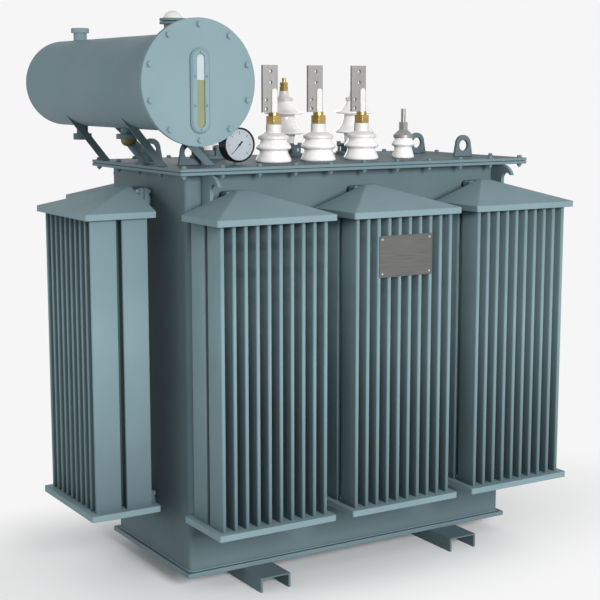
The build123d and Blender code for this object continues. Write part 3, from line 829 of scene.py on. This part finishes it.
def lathe(shape: Form, outline: Outline, foot: Vector, steps: int) -> None:
    """Turns an outline about an upright axis into a closed form.

    Args:
        shape: Mesh that the form is added to.
        outline: Radius and height of each point, from the axis at the foot to the axis at the top.
        foot: Point on the axis at height 0.
        steps: Number of faces round the form.
    """
    turns = [2 * math.pi * i / steps for i in range(steps)]
    rings = []
    for radius, height in outline:
        around = turns if radius > 0 else [0.0]
        offsets = [Vector((radius * math.cos(t), radius * math.sin(t), height)) for t in around]
        rings.append([shape.verts.new(foot + offset) for offset in offsets])
    for below, above in zip(rings, rings[1:]):
        for i in range(steps):
            j = (i + 1) % steps
            if len(below) == 1:
                corners = [below[0], above[j], above[i]]
            elif len(above) == 1:
                corners = [below[i], below[j], above[0]]
            else:
                corners = [below[i], below[j], above[j], above[i]]
            shape.faces.new(corners)


def bridge(shape: Form, rings: Sequence[Sequence[Vector]]) -> None:
    """Adds a closed form through rings of points, with a face over each end ring.

    Args:
        shape: Mesh that the form is added to.
        rings: Rings with the same number of points, in order.
    """
    corners = [[shape.verts.new(point) for point in ring] for ring in rings]
    faces = [shape.faces.new(corners[0]), shape.faces.new(corners[-1])]
    for below, above in zip(corners, corners[1:]):
        for i in range(len(below)):
            j = (i + 1) % len(below)
            faces.append(shape.faces.new([below[i], below[j], above[j], above[i]]))
    bmesh.ops.recalc_face_normals(shape, faces=faces)


@dataclass(frozen=True)
class BoltSize:
    """One kind of hexagon bolt, screw or rivet, in millimetres."""

    across: float
    head: float
    washer_radius: float
    washer: float
    seed: int
    end: float = 0.0
    nut: bool = False

    def set_on(
        self,
        bolts: NodeShape,
        name: str,
        places: Sequence[Place],
        finish: Material,
        slot: str | None,
        grip: float = 0.0,
    ) -> None:
        """Sets bolts of this kind on places.

        Args:
            bolts: The bolts' tree.
            name: Name of the piece.
            places: Seat and axis of each bolt.
            finish: Material of the piece.
            slot: Name of the record's slot, or None.
            grip: Depth from the head's seat to the nut's, in metres.
        """
        sizes = {
            "Across": self.across * MM,
            "Head": self.head * MM,
            "Washer radius": self.washer_radius * MM,
            "Washer": self.washer * MM,
            "Grip": grip,
            "End": self.end * MM,
            "Nut": self.nut,
            "Seed": self.seed,
        }
        settle(bolts.make(name, point_mesh(f"{name}_places", places), finish, sizes), slot)


@dataclass
class SoftEdges:
    """Copies of CAD nodes whose sharp edges are rounded as on rolled, cut and cast metal."""

    frame: dict
    palette: Palette
    slots: dict[str, str]
    sharp_deg: float = 28.0
    shading_deg: float = 50.0
    flat_deg: float = 0.5
    segments: int = 2
    roundness: float = 0.5

    def width_of(self, node: str) -> float:
        """Gives the round of a node's edges in millimetres, or 0 where it stays as it is."""
        return next((width for width, ends in EDGE_WIDTHS_MM.items() if node.endswith(ends)), 0.0)

    def finish_of(self, node: str) -> Material:
        """Gives the material of a node, its own or its slot's."""
        return self.palette.of(NODE_FINISHES.get(node, SLOT_FINISHES[self.slots[node]]))

    def copy(self, node: str, width_mm: float) -> Piece:
        """Makes a merged copy of a node with rounded edges.

        Args:
            node: Name of the CAD node.
            width_mm: Width of the rounded edge.

        Returns:
            The new piece.
        """
        shape = bmesh.new()
        shape.from_mesh(self.frame["nodes"][node].data)
        bmesh.ops.remove_doubles(shape, verts=shape.verts[:], dist=MERGE_DISTANCE)
        flat = math.radians(self.flat_deg)
        bmesh.ops.dissolve_limit(
            shape, angle_limit=flat, verts=shape.verts[:], edges=shape.edges[:], delimit=set()
        )
        limit = math.radians(self.sharp_deg)
        joined = [edge for edge in shape.edges if len(edge.link_faces) == 2]
        bmesh.ops.bevel(
            shape,
            geom=[edge for edge in joined if edge.calc_face_angle() > limit],
            offset=width_mm * MM,
            offset_type="OFFSET",
            segments=self.segments,
            profile=self.roundness,
            affect="EDGES",
            clamp_overlap=True,
        )
        piece = mesh_object(f"{node}_dressed", shape, self.finish_of(node), self.shading_deg)
        weigh_normals(piece)
        return piece

    def build(self, skip: set[str]) -> None:
        """Dresses every node: a rounded copy where its edges are sharp, else its finish alone.

        Args:
            skip: Nodes that other classes make anew.
        """
        for node, slot in self.slots.items():
            if node in skip:
                continue
            width = self.width_of(node)
            if width:
                settle(self.copy(node, width), slot, node)
                continue
            mesh = self.frame["nodes"][node].data
            mesh.materials.clear()
            mesh.materials.append(self.finish_of(node))
            log.info("node %s takes %s", node, slot)


class RadiatorPlace(Enum):
    """Where a radiator stands on the tank."""

    FRONT_LEFT = "front_left"
    FRONT_MIDDLE = "front_middle"
    FRONT_RIGHT = "front_right"
    BACK_LEFT = "back_left"
    BACK_MIDDLE = "back_middle"
    BACK_RIGHT = "back_right"
    LEFT_END = "left_end"

    @property
    def outward(self) -> Vector:
        """Way out of the tank wall at this place."""
        if self is RadiatorPlace.LEFT_END:
            return Vector((-1, 0, 0))
        return Vector((0, -1 if self.value.startswith("front") else 1, 0))


@dataclass
class Radiators:
    """Banks of flat tubes, and the bolts of the flanges that join each radiator to the tank."""

    rows: int = 10
    columns: int = 2
    row_pitch_mm: float = 50.0
    column_pitch_mm: float = 132.0
    tube_thickness_mm: float = 16.0
    tube_width_mm: float = 110.0
    tube_edge_mm: float = 7.0
    neck_rise_mm: float = 50.0
    flange_inset_mm: float = 36.0
    flange_face_mm: float = 60.0
    flange_grip_mm: float = 43.0
    bolt: BoltSize = BoltSize(17, 8, 11, 2, seed=3, end=3, nut=True)

    def build(self, palette: Palette, tubes: NodeShape, bolts: NodeShape) -> None:
        """Makes one bank for each radiator and all the flange bolts.

        Args:
            palette: The finishes.
            tubes: The tubes' tree.
            bolts: The bolts' tree.
        """
        places: list[Place] = []
        for spot in RadiatorPlace:
            node = f"{spot.value}_radiator_tubes"
            low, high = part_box(node)
            middle = (low + high) / 2
            turn = math.pi / 2 if spot is RadiatorPlace.LEFT_END else 0.0
            sizes = {
                "Thickness": self.tube_thickness_mm * MM,
                "Width": self.tube_width_mm * MM,
                "Edge radius": self.tube_edge_mm * MM,
                "Length": high.z - low.z,
                "Row pitch": self.row_pitch_mm * MM,
                "Column pitch": self.column_pitch_mm * MM,
                "Rows": self.rows,
                "Columns": self.columns,
                "Foot": (middle.x, middle.y, low.z),
                "Turn": (0.0, 0.0, turn),
            }
            base = bpy.data.meshes.new(node)
            # Painted light: the tubes take the lighter enamel
            bank = tubes.make(f"{spot.value}_flat_tubes", base, palette.of(LIT_RADIATOR_PAINT), sizes)
            settle(bank, "radiator_paint", node)
            places += self.flange_places(spot, middle, low.z, high.z)
        grip = self.flange_grip_mm * MM
        self.bolt.set_on(bolts, "radiator_flange_bolts", places, palette.of(ZINC), None, grip)

    def flange_places(self, spot: RadiatorPlace, middle: Vector, foot: float, top: float) -> list[Place]:
        """Gives the bolt places of one radiator's two pairs of flanges.

        Args:
            spot: Where the radiator stands.
            middle: Middle of its tubes.
            foot: Level of the tubes' lower ends.
            top: Level of their upper ends.

        Returns:
            Seat and axis of each bolt.
        """
        wall_low, wall_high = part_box("tank_wall")
        out = spot.outward
        along = UP.cross(out)
        wall = Vector((middle.x, wall_low.y if out.y < 0 else wall_high.y, 0))
        if spot is RadiatorPlace.LEFT_END:
            wall = Vector((wall_low.x, middle.y, 0))
        face = wall + out * self.flange_face_mm * MM
        reach = self.flange_inset_mm * MM
        places = []
        for level in (top + self.neck_rise_mm * MM, foot - self.neck_rise_mm * MM):
            for side in (-reach, reach):
                for rise in (-reach, reach):
                    places.append((face + along * side + UP * (level + rise), out))
        return places


@dataclass
class CoverBolts:
    """The ring of bolts that hold the cover on the tank's rim."""

    inset_mm: float = 24.0
    long_count: int = 11
    short_count: int = 5
    bolt: BoltSize = BoltSize(18, 7, 11.5, 2.5, seed=7, end=6, nut=True)

    def build(self, palette: Palette, bolts: NodeShape) -> None:
        """Makes the bolts with their nuts under the rim.

        Args:
            palette: The finishes.
            bolts: The bolts' tree.
        """
        low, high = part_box("cover_plate")
        rim_low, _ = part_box("tank_rim")
        inset = self.inset_mm * MM
        places: list[Place] = []
        for i in range(self.long_count):
            x = low.x + inset + (high.x - low.x - 2 * inset) * i / (self.long_count - 1)
            places += [(Vector((x, y, high.z)), UP) for y in (low.y + inset, high.y - inset)]
        for i in range(1, self.short_count - 1):
            y = low.y + inset + (high.y - low.y - 2 * inset) * i / (self.short_count - 1)
            places += [(Vector((x, y, high.z)), UP) for x in (low.x + inset, high.x - inset)]
        paint = palette.of(TANK_PAINT)
        self.bolt.set_on(bolts, "cover_bolts", places, paint, "tank_paint", high.z - rim_low.z)


@dataclass
class Conservator:
    """Bolts of the conservator's front cover and screws of its gauge."""

    cover_bolts: int = 10
    cover_circle: float = 0.9
    cover_grip_mm: float = 20.0
    gauge_screw_side_mm: float = 23.5
    gauge_screw_rise_mm: float = 52.0
    gauge_screw_end_mm: float = 138.0
    bolt: BoltSize = BoltSize(19, 6.5, 13, 2, seed=11, end=5, nut=True)
    screw: BoltSize = BoltSize(7, 4, 5, 1, seed=13)

    def build(self, palette: Palette, bolts: NodeShape) -> None:
        """Makes the bolts and screws.

        Args:
            palette: The finishes.
            bolts: The bolts' tree.
        """
        # Painted light: the conservator's bolts and screws take the lighter enamel
        paint, slot = palette.of(LIT_CONSERVATOR_PAINT), "conservator_paint"
        low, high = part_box("conservator_cover")
        radius = (high.x - low.x) / 2 * self.cover_circle
        face = Vector(((low.x + high.x) / 2, low.y, (low.z + high.z) / 2))
        circle = circle_places(face, radius, self.cover_bolts, FRONT, UP)
        self.bolt.set_on(bolts, "conservator_bolts", circle, paint, slot, self.cover_grip_mm * MM)

        low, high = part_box("gauge_frame")
        face = Vector(((low.x + high.x) / 2, low.y, (low.z + high.z) / 2))
        side, rise, end = self.gauge_screw_side_mm, self.gauge_screw_rise_mm, self.gauge_screw_end_mm
        spots = [(0, end), (0, -end), (-side, -rise), (side, -rise), (-side, rise), (side, rise)]
        places = [(face + Vector((across, 0, up)) * MM, FRONT) for across, up in spots]
        self.screw.set_on(bolts, "gauge_screws", places, paint, slot)


@dataclass
class Bushings:
    """Smooth porcelain of the bushings, turned from outlines in shares of radius and height."""

    steps: int = 64
    rod_steps: int = 24
    softenings: int = 2
    lv_count: int = 3
    hv_count: int = 3
    lv_radius_mm: float = 75.0
    hv_radius_mm: float = 92.0
    lv_outline: Outline = (
        (0.0, 0.0), (0.93, 0.0), (0.98, 0.02), (1.0, 0.07), (0.99, 0.12), (0.893, 0.28), (0.813, 0.40),
        (0.787, 0.485), (0.80, 0.53), (0.933, 0.573), (0.98, 0.62), (0.98, 0.68), (0.933, 0.743),
        (0.84, 0.82), (0.767, 0.883), (0.747, 0.94), (0.747, 1.0), (0.0, 1.0),
    )
    neutral_outline: Outline = (
        (0.0, 0.0), (0.86, 0.0), (0.93, 0.02), (0.95, 0.07), (0.92, 0.14), (0.80, 0.38), (0.75, 0.50),
        (0.77, 0.58), (0.95, 0.62), (1.0, 0.68), (0.99, 0.74), (0.88, 0.84), (0.76, 0.93), (0.74, 1.0),
        (0.0, 1.0),
    )
    hv_outline: Outline = (
        (0.0, 0.0), (0.50, 0.0), (0.52, 0.13), (0.53, 0.26), (0.66, 0.28), (0.93, 0.287), (1.0, 0.312),
        (0.98, 0.342), (0.85, 0.385), (0.70, 0.44), (0.57, 0.56), (0.52, 0.68), (0.60, 0.702),
        (0.93, 0.71), (1.0, 0.733), (0.98, 0.76), (0.84, 0.785), (0.65, 0.827), (0.50, 0.91),
        (0.42, 0.97), (0.42, 1.0), (0.0, 1.0),
    )
    cap_radius_mm: float = 41.0
    cap_outline_mm: Outline = (
        (0.0, 0.0), (39.0, 0.0), (41.0, 2.0), (41.0, 13.0), (39.0, 15.0), (27.0, 17.5), (23.0, 22.0),
        (21.0, 34.0), (20.5, 45.0), (0.0, 45.0),
    )
    rod_outline_mm: Outline = (
        (0.0, 0.0), (14.0, 0.0), (14.0, 30.0), (9.0, 30.0), (9.0, 57.0), (8.0, 58.0), (0.0, 58.0),
    )
    nuts_mm: tuple[tuple[float, float, float], ...] = ((37.0, 0.0, 20.5), (35.0, 22.5, 15.5))
    nut_chamfer_mm: float = 1.5
    spine_proud_mm: float = 5.0
    spine_share: float = 0.94

    def build(self, palette: Palette) -> None:
        """Makes the porcelain, the high-voltage tops and the painted highlight on the spines.

        Args:
            palette: The finishes.
        """
        # Painted shade: the low-voltage and neutral porcelain take the greyer glaze
        lv = (PORCELAIN, self.lv_outline, self.lv_count, self.lv_radius_mm * MM)
        low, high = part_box("neutral_insulator")
        neutral = (PORCELAIN, self.neutral_outline, 1, (high.x - low.x) / 2)
        # Painted light: the high-voltage porcelain takes the whiter glaze
        hv = (LIT_PORCELAIN, self.hv_outline, self.hv_count, self.hv_radius_mm * MM)
        self.turn_porcelain(palette, "lv_insulators", "lv_porcelain", *lv)
        self.turn_porcelain(palette, "neutral_insulator", "neutral_porcelain", *neutral)
        self.turn_porcelain(palette, "hv_insulators", "hv_porcelain", *hv)
        self.build_tops(palette)
        self.paint_spine_highlights(palette)

    def turn_porcelain(
        self,
        palette: Palette,
        node: str,
        name: str,
        glaze: Finish,
        outline: Outline,
        count: int,
        radius: float,
    ) -> None:
        """Turns the porcelain of one row of bushings.

        Args:
            palette: The finishes.
            node: CAD node that it replaces.
            name: Name of the piece.
            glaze: Its finish.
            outline: Points in shares of the radius and the height.
            count: How many bushings are in the row.
            radius: Widest radius, in metres.
        """
        low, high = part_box(node)
        line = [(radius * across, (high.z - low.z) * rise) for across, rise in outline]
        smooth = [line[0], *soften_outline(line[1:-1], self.softenings), line[-1]]
        shape = bmesh.new()
        for foot in row_feet(node, radius, count):
            lathe(shape, smooth, foot, self.steps)
        settle(mesh_object(name, shape, palette.of(glaze), GLAZED_DEG), "porcelain", node)

    def build_tops(self, palette: Palette) -> None:
        """Makes the high-voltage caps, and the brass studs with two nuts each.

        Args:
            palette: The finishes.
        """
        low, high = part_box("hv_caps")
        caps, studs = bmesh.new(), bmesh.new()
        for foot in row_feet("hv_caps", self.cap_radius_mm * MM, self.hv_count):
            lathe(caps, in_metres(self.cap_outline_mm), foot, self.steps)
            seat = foot + UP * (high.z - low.z)
            lathe(studs, in_metres(self.rod_outline_mm), seat, self.rod_steps)
            for across, level, top in self.nuts_mm:
                corner, edge = across / math.sqrt(3), self.nut_chamfer_mm
                side = ((corner - edge, 0), (corner, edge), (corner, top - edge), (corner - edge, top))
                lathe(studs, in_metres(((0, 0), *side, (0, top))), seat + UP * level * MM, HEXAGON)
        turned = mesh_object("hv_turned_caps", caps, palette.of(PALE_CASTING_AND_HIGHLIGHT), TURNED_DEG)
        settle(turned, "aluminium", "hv_caps")
        nutted = mesh_object("hv_studs_and_nuts", studs, palette.of(BRASS), CUT_DEG)
        settle(nutted, "brass", "hv_studs")

    def paint_spine_highlights(self, palette: Palette) -> None:
        """Gives the spines that stand proud of the low-voltage flags a paler finish, as a painted highlight.

        Args:
            palette: The finishes.
        """
        low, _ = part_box("lv_terminals")
        face = low.y + self.spine_share * self.spine_proud_mm * MM
        mesh = bpy.data.objects["lv_terminals_dressed"].data
        # Painted highlight: the spines' proud faces take the pale finish
        mesh.materials.append(palette.of(PALE_CASTING_AND_HIGHLIGHT))
        for polygon in mesh.polygons:
            if polygon.center.y < face:
                polygon.material_index = 1


@dataclass
class Clamps:
    """Fingers, studs and nuts that hold each high-voltage bushing on its flange."""

    bushings: int = 3
    count: int = 6
    start_deg: float = 30.0
    flange_radius_mm: float = 84.0
    flange_thickness_mm: float = 14.0
    stud_circle_mm: float = 71.0
    stud_radius_mm: float = 6.0
    stud_steps: int = 12
    finger_mm: float = 11.0
    finger_length_mm: float = 34.0
    finger_middle_mm: float = 64.0
    nut: BoltSize = BoltSize(17, 8, 11, 2, seed=19)

    def build(self, palette: Palette, bars: NodeShape, bolts: NodeShape) -> None:
        """Makes the clamps of all the high-voltage bushings.

        Args:
            palette: The finishes.
            bars: The bars' tree.
            bolts: The bolts' tree.
        """
        low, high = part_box("hv_flanges")
        foot = self.flange_thickness_mm * MM
        top = high.z - low.z
        width, rod = self.finger_mm * MM, self.stud_radius_mm * MM
        circle = self.stud_circle_mm * MM
        outline = ((0.0, 0.0), (rod, 0.0), (rod, top - foot), (0.0, top - foot))
        studs = bmesh.new()
        fingers: list[Place] = []
        nuts: list[Place] = []
        for axis in row_feet("hv_flanges", self.flange_radius_mm * MM, self.bushings):
            for point, _ in circle_places(axis, circle, self.count, UP, Vector((1, 0, 0)), self.start_deg):
                way = (point - axis).normalized()
                middle = axis + way * self.finger_middle_mm * MM
                fingers.append((middle + UP * (top + width / 2), way))
                nuts.append((point + UP * (top + width), UP))
                lathe(studs, outline, point + UP * foot, self.stud_steps)
        casting, slot = palette.of(CASTING), "grey_casting"
        settle(mesh_object("hv_clamp_studs", studs, casting, CUT_DEG), slot)
        sizes = {"Width": width, "Length": self.finger_length_mm * MM}
        settle(bars.make("hv_clamp_fingers", point_mesh("finger_places", fingers), casting, sizes), slot)
        self.nut.set_on(bolts, "hv_clamp_nuts", nuts, casting, slot)


@dataclass
class Thermometer:
    """Needle and scale marks on the thermometer's dial. Lengths without a unit are shares of its radius."""

    sweep_deg: float = 270.0
    mark_count: int = 25
    mark_reach: float = 0.86
    marks_mm: tuple[tuple[str, int, float, float], ...] = (("fine", 1, 0.9, 6.0), ("main", 4, 1.8, 10.0))
    needle_deg: float = 228.0
    needle_outline: Outline = (
        (0.72, 0.008), (0.0, 0.035), (-0.3, 0.06), (-0.3, -0.06), (0.0, -0.035), (0.72, -0.008),
    )
    needle_lifts_mm: tuple[float, float] = (0.6, 2.0)
    hub_radius_mm: float = 4.5
    hub_steps: int = 20
    hub_lifts_mm: tuple[float, float] = (0.0, 3.2)

    def build(self, palette: Palette, bars: NodeShape) -> None:
        """Makes the marks and the needle.

        Args:
            palette: The finishes.
            bars: The bars' tree.
        """
        low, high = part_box("thermometer_dial")
        centre = Vector(((low.x + high.x) / 2, low.y, (low.z + high.z) / 2))
        radius = (high.x - low.x) / 2
        black = palette.of(BLACK_ENAMEL)
        for kind, every, width, length in self.marks_mm:
            places = []
            for i in range(0, self.mark_count, every):
                angle = math.radians(90 + self.sweep_deg / 2 - self.sweep_deg * i / (self.mark_count - 1))
                way = Vector((math.cos(angle), 0, math.sin(angle)))
                places.append((centre + way * (self.mark_reach * radius - length * MM / 2), way))
            name = f"dial_marks_{kind}"
            sizes = {"Width": width * MM, "Length": length * MM}
            settle(bars.make(name, point_mesh(name, places), black, sizes), "black_enamel")
        self.needle(centre, radius, black)

    def needle(self, centre: Vector, radius: float, black: Material) -> None:
        """Makes the tapered needle with its tail and hub.

        Args:
            centre: Middle of the dial's face.
            radius: Radius of the dial.
            black: Material of the needle.
        """
        angle = math.radians(self.needle_deg)
        way = Vector((math.cos(angle), 0, math.sin(angle)))
        side = Vector((-math.sin(angle), 0, math.cos(angle)))
        turns = [2 * math.pi * i / self.hub_steps for i in range(self.hub_steps)]
        blade = [(radius * a, radius * b) for a, b in self.needle_outline]
        hub = in_metres([(self.hub_radius_mm * math.cos(t), self.hub_radius_mm * math.sin(t)) for t in turns])
        shape = bmesh.new()
        for outline, lifts in ((blade, self.needle_lifts_mm), (hub, self.hub_lifts_mm)):
            seats = [centre + FRONT * lift * MM for lift in lifts]
            bridge(shape, [[seat + way * a + side * b for a, b in outline] for seat in seats])
        settle(mesh_object("thermometer_needle", shape, black, CUT_DEG), "black_enamel")


@dataclass
class RatingPlate:
    """The bare plate on the middle front radiator."""

    width_mm: float = 256.0
    height_mm: float = 165.0
    middle_mm: float = 1352.5
    thickness_mm: float = 2.0
    rim_mm: float = 5.0
    rim_proud_mm: float = 1.0
    corner_mm: float = 6.0
    least_corner_mm: float = 1.0
    rivet_inset_mm: float = 14.0
    rivet: BoltSize = BoltSize(7, 2, 5, 0.8, seed=17)

    def build(self, palette: Palette, bolts: NodeShape) -> None:
        """Makes the plate with a raised rim and a rivet in each corner.

        Args:
            palette: The finishes.
            bolts: The bolts' tree.
        """
        low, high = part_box("front_middle_radiator_tubes")
        centre = Vector(((low.x + high.x) / 2, low.y, self.middle_mm * MM))
        half = Vector((self.width_mm / 2, self.height_mm / 2, 0)) * MM
        top = self.thickness_mm + self.rim_proud_mm
        dip = self.rim_mm + self.rim_proud_mm
        rings = []
        for depth, inset in ((0.0, 0.0), (top, 0.0), (top, self.rim_mm), (self.thickness_mm, dip)):
            edge = Vector((inset, inset, 0)) * MM
            corner = max(self.corner_mm - inset, self.least_corner_mm) * MM
            outline = rounded_outline(-half + edge, half - edge, corner, depth * MM)
            rings.append([centre + Vector((p.x, -p.z, p.y)) for p in outline])
        shape = bmesh.new()
        bridge(shape, rings)
        settle(mesh_object("rating_plate", shape, palette.of(BRUSHED_STEEL), CUT_DEG), None)
        face = centre + FRONT * self.thickness_mm * MM
        reach = half - Vector((self.rivet_inset_mm, self.rivet_inset_mm, 0)) * MM
        places = [(face + Vector((a * reach.x, 0, b * reach.y)), FRONT) for a in (-1, 1) for b in (-1, 1)]
        self.rivet.set_on(bolts, "rating_plate_rivets", places, palette.of(ZINC), None)


@dataclass
class Welds:
    """Weld beads along the tank's seams and round the conservator's flange."""

    tank_bead_mm: float = 5.0
    drum_bead_mm: float = 4.0
    drum_points: int = 72
    step_mm: float = 5.0
    ripple: float = 0.12
    tank_corner_mm: float = 20.0

    def build(self, palette: Palette, beads: NodeShape) -> None:
        """Lays the beads.

        Args:
            palette: The finishes.
            beads: The beads' tree.
        """
        low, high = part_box("tank_wall")
        corner = self.tank_corner_mm * MM
        seams = [rounded_outline(low, high, corner, level) for level in (low.z, high.z)]
        low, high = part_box("conservator_shell")
        front = Vector(((low.x + high.x) / 2, low.y, (low.z + high.z) / 2))
        circle = circle_places(front, (high.x - low.x) / 2, self.drum_points, FRONT, UP)
        drum = [[point for point, _ in circle]]
        for name, rings, radius_mm, finish, slot in (
            ("tank_welds", seams, self.tank_bead_mm, TANK_PAINT, "tank_paint"),
            ("conservator_welds", drum, self.drum_bead_mm, LIT_CONSERVATOR_PAINT, "conservator_paint"),
        ):
            sizes = {"Radius": radius_mm * MM, "Step": self.step_mm * MM, "Ripple": self.ripple}
            base = ring_mesh(f"{name}_path", rings)
            settle(beads.make(name, base, palette.of(finish), sizes), slot)


@dataclass
class Studio:
    """Pale floor, soft lamps and the camera at the photograph's angle."""

    camera_place: tuple[float, float, float] = (-3.0371, -5.1224, 2.0135)
    azimuth_deg: float = -31.439
    elevation_deg: float = 8.787
    lens_mm: float = 82.91
    sensor_mm: float = 36.0
    background: str = "#f6f6f6"
    floor_colour: str = "#f6f6f6"
    floor_radius: float = 60.0
    floor_steps: int = 96
    floor_bounce: float = 0.65
    sky_low: float = 0.36
    sky_rise: float = 0.2
    fade_middle: float = -0.25
    fade_reach: tuple[float, float] = (1.1, 0.45)
    fade_start: float = 0.9
    fade_end: float = 2.6
    lamp_target: tuple[float, float, float] = (0.0, 0.0, 1.1)
    lamps: tuple[tuple[str, tuple[float, float, float], float, float], ...] = (
        ("key_lamp", (-0.7, -9.0, 3.5), 2.8, 870.0),
        ("left_lamp", (-6.5, 1.4, 1.5), 4.5, 150.0),
        ("back_lamp", (2.5, 6.0, 2.5), 4.0, 60.0),
    )

    def build(self) -> None:
        """Makes the stage."""
        self.make_world()
        self.make_floor()
        for name, place, size, power in self.lamps:
            data = bpy.data.lights.new(name, "AREA")
            data.size = size
            data.energy = power
            self.put(name, data, Vector(place), Vector(self.lamp_target) - Vector(place))
        self.make_camera()
        bpy.context.scene.view_settings.view_transform = "Standard"

    def put(self, name: str, data: bpy.types.ID, place: Vector, way: Vector) -> Piece:
        """Puts a lamp or a camera in the scene, looking along a way.

        Args:
            name: Name of the object.
            data: The lamp or the camera.
            place: Where it stands.
            way: Direction that it looks in.

        Returns:
            The new object.
        """
        piece = bpy.data.objects.new(name, data)
        piece.location = place
        piece.rotation_mode = "QUATERNION"
        piece.rotation_quaternion = way.to_track_quat("-Z", "Y")
        bpy.context.scene.collection.objects.link(piece)
        return piece

    def make_world(self) -> None:
        """Lights from all round, with the pale background for what the camera sees."""
        world = bpy.data.worlds.new("studio")
        world.use_nodes = True
        bpy.context.scene.world = world
        tree = world.node_tree
        tree.nodes.clear()
        way = add_node(tree, "ShaderNodeTexCoord")
        parts = add_node(tree, "ShaderNodeSeparateXYZ", {"Vector": way.outputs["Generated"]})
        inputs = {0: parts.outputs["Z"], 1: 0.0}
        height = add_node(tree, "ShaderNodeMath", inputs, {"operation": "MAXIMUM"})
        inputs = {0: height.outputs["Value"], 1: self.sky_rise, 2: self.sky_low}
        sky = add_node(tree, "ShaderNodeMath", inputs, {"operation": "MULTIPLY_ADD"})
        inputs = {"Color": (1.0, 1.0, 1.0, 1.0), "Strength": sky.outputs["Value"]}
        light = add_node(tree, "ShaderNodeBackground", inputs)
        inputs = {"Color": linear(self.background), "Strength": 1.0}
        seen = add_node(tree, "ShaderNodeBackground", inputs)
        path = add_node(tree, "ShaderNodeLightPath")
        either = path.outputs["Is Camera Ray"]
        for name in ("Is Glossy Ray", "Is Transmission Ray"):
            inputs = {0: either, 1: path.outputs[name]}
            either = add_node(tree, "ShaderNodeMath", inputs, {"operation": "MAXIMUM"}).outputs["Value"]
        mix = add_node(tree, "ShaderNodeMixShader", {0: either, 1: light.outputs[0], 2: seen.outputs[0]})
        add_node(tree, "ShaderNodeOutputWorld", {"Surface": mix.outputs[0]})

    def make_floor(self) -> None:
        """Makes a wide floor that fades into the background away from the object."""
        material = bpy.data.materials.new("studio_floor")
        material.use_nodes = True
        tree = material.node_tree
        tree.nodes.clear()
        path = add_node(tree, "ShaderNodeLightPath")
        inputs = {"Value": path.outputs["Is Diffuse Ray"], "To Min": 1.0, "To Max": self.floor_bounce}
        glow = add_node(tree, "ShaderNodeMapRange", inputs).outputs["Result"]
        inputs = {"Factor": 1.0, 6: linear(self.floor_colour), 7: glow}
        shade = add_node(tree, "ShaderNodeMix", inputs, {"data_type": "RGBA", "blend_type": "MULTIPLY"})
        paper = add_node(tree, "ShaderNodeBsdfDiffuse", {"Color": shade.outputs[2]})
        inputs = {"Color": linear(self.background), "Strength": glow}
        far = add_node(tree, "ShaderNodeEmission", inputs)
        place = add_node(tree, "ShaderNodeTexCoord")
        along, across = self.fade_reach
        inputs = {
            "Vector": place.outputs["Object"],
            "Location": Vector((-self.fade_middle / along, 0, 0)),
            "Scale": Vector((1 / along, 1 / across, 1)),
        }
        shares = add_node(tree, "ShaderNodeMapping", inputs)
        inputs = {0: shares.outputs["Vector"]}
        distance = add_node(tree, "ShaderNodeVectorMath", inputs, {"operation": "LENGTH"})
        inputs = {"Value": distance.outputs["Value"], "From Min": self.fade_start, "From Max": self.fade_end}
        fade = add_node(tree, "ShaderNodeMapRange", inputs, {"interpolation_type": "SMOOTHSTEP"})
        inputs = {0: fade.outputs["Result"], 1: paper.outputs[0], 2: far.outputs[0]}
        mix = add_node(tree, "ShaderNodeMixShader", inputs)
        add_node(tree, "ShaderNodeOutputMaterial", {"Surface": mix.outputs[0]})
        shape = bmesh.new()
        steps, radius = self.floor_steps, self.floor_radius
        bmesh.ops.create_circle(shape, cap_ends=True, segments=steps, radius=radius)
        floor = mesh_object("studio_floor", shape, material, CUT_DEG)

    def make_camera(self) -> None:
        """Makes the camera and sets it as the scene's own."""
        azimuth, elevation = math.radians(self.azimuth_deg), math.radians(self.elevation_deg)
        flat = math.cos(elevation)
        back = Vector((math.sin(azimuth) * flat, -math.cos(azimuth) * flat, math.sin(elevation)))
        data = bpy.data.cameras.new("photo_camera")
        data.lens = self.lens_mm
        data.sensor_width = self.sensor_mm
        camera = self.put("photo_camera", data, Vector(self.camera_place), -back)
        bpy.context.scene.camera = camera


def main() -> None:
    """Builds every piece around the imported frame."""
    logging.basicConfig(level=logging.INFO, format="%(message)s")
    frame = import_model()
    palette = Palette()
    slots = {part["node"]: part["material_slot"] for part in frame["record"]["subparts"]}
    tubes, bolts, beads, bars = tube_shape(), bolt_shape(), bead_shape(), bar_shape()
    made_anew = {f"{spot.value}_radiator_tubes" for spot in RadiatorPlace}
    made_anew |= {"lv_insulators", "neutral_insulator", "hv_insulators", "hv_caps", "hv_studs"}
    SoftEdges(frame, palette, slots).build(made_anew)
    Radiators().build(palette, tubes, bolts)
    CoverBolts().build(palette, bolts)
    Conservator().build(palette, bolts)
    Bushings().build(palette)
    Clamps().build(palette, bars, bolts)
    Thermometer().build(palette, bars)
    RatingPlate().build(palette, bolts)
    Welds().build(palette, beads)
    Studio().build()


if __name__ == "__main__":
    main()
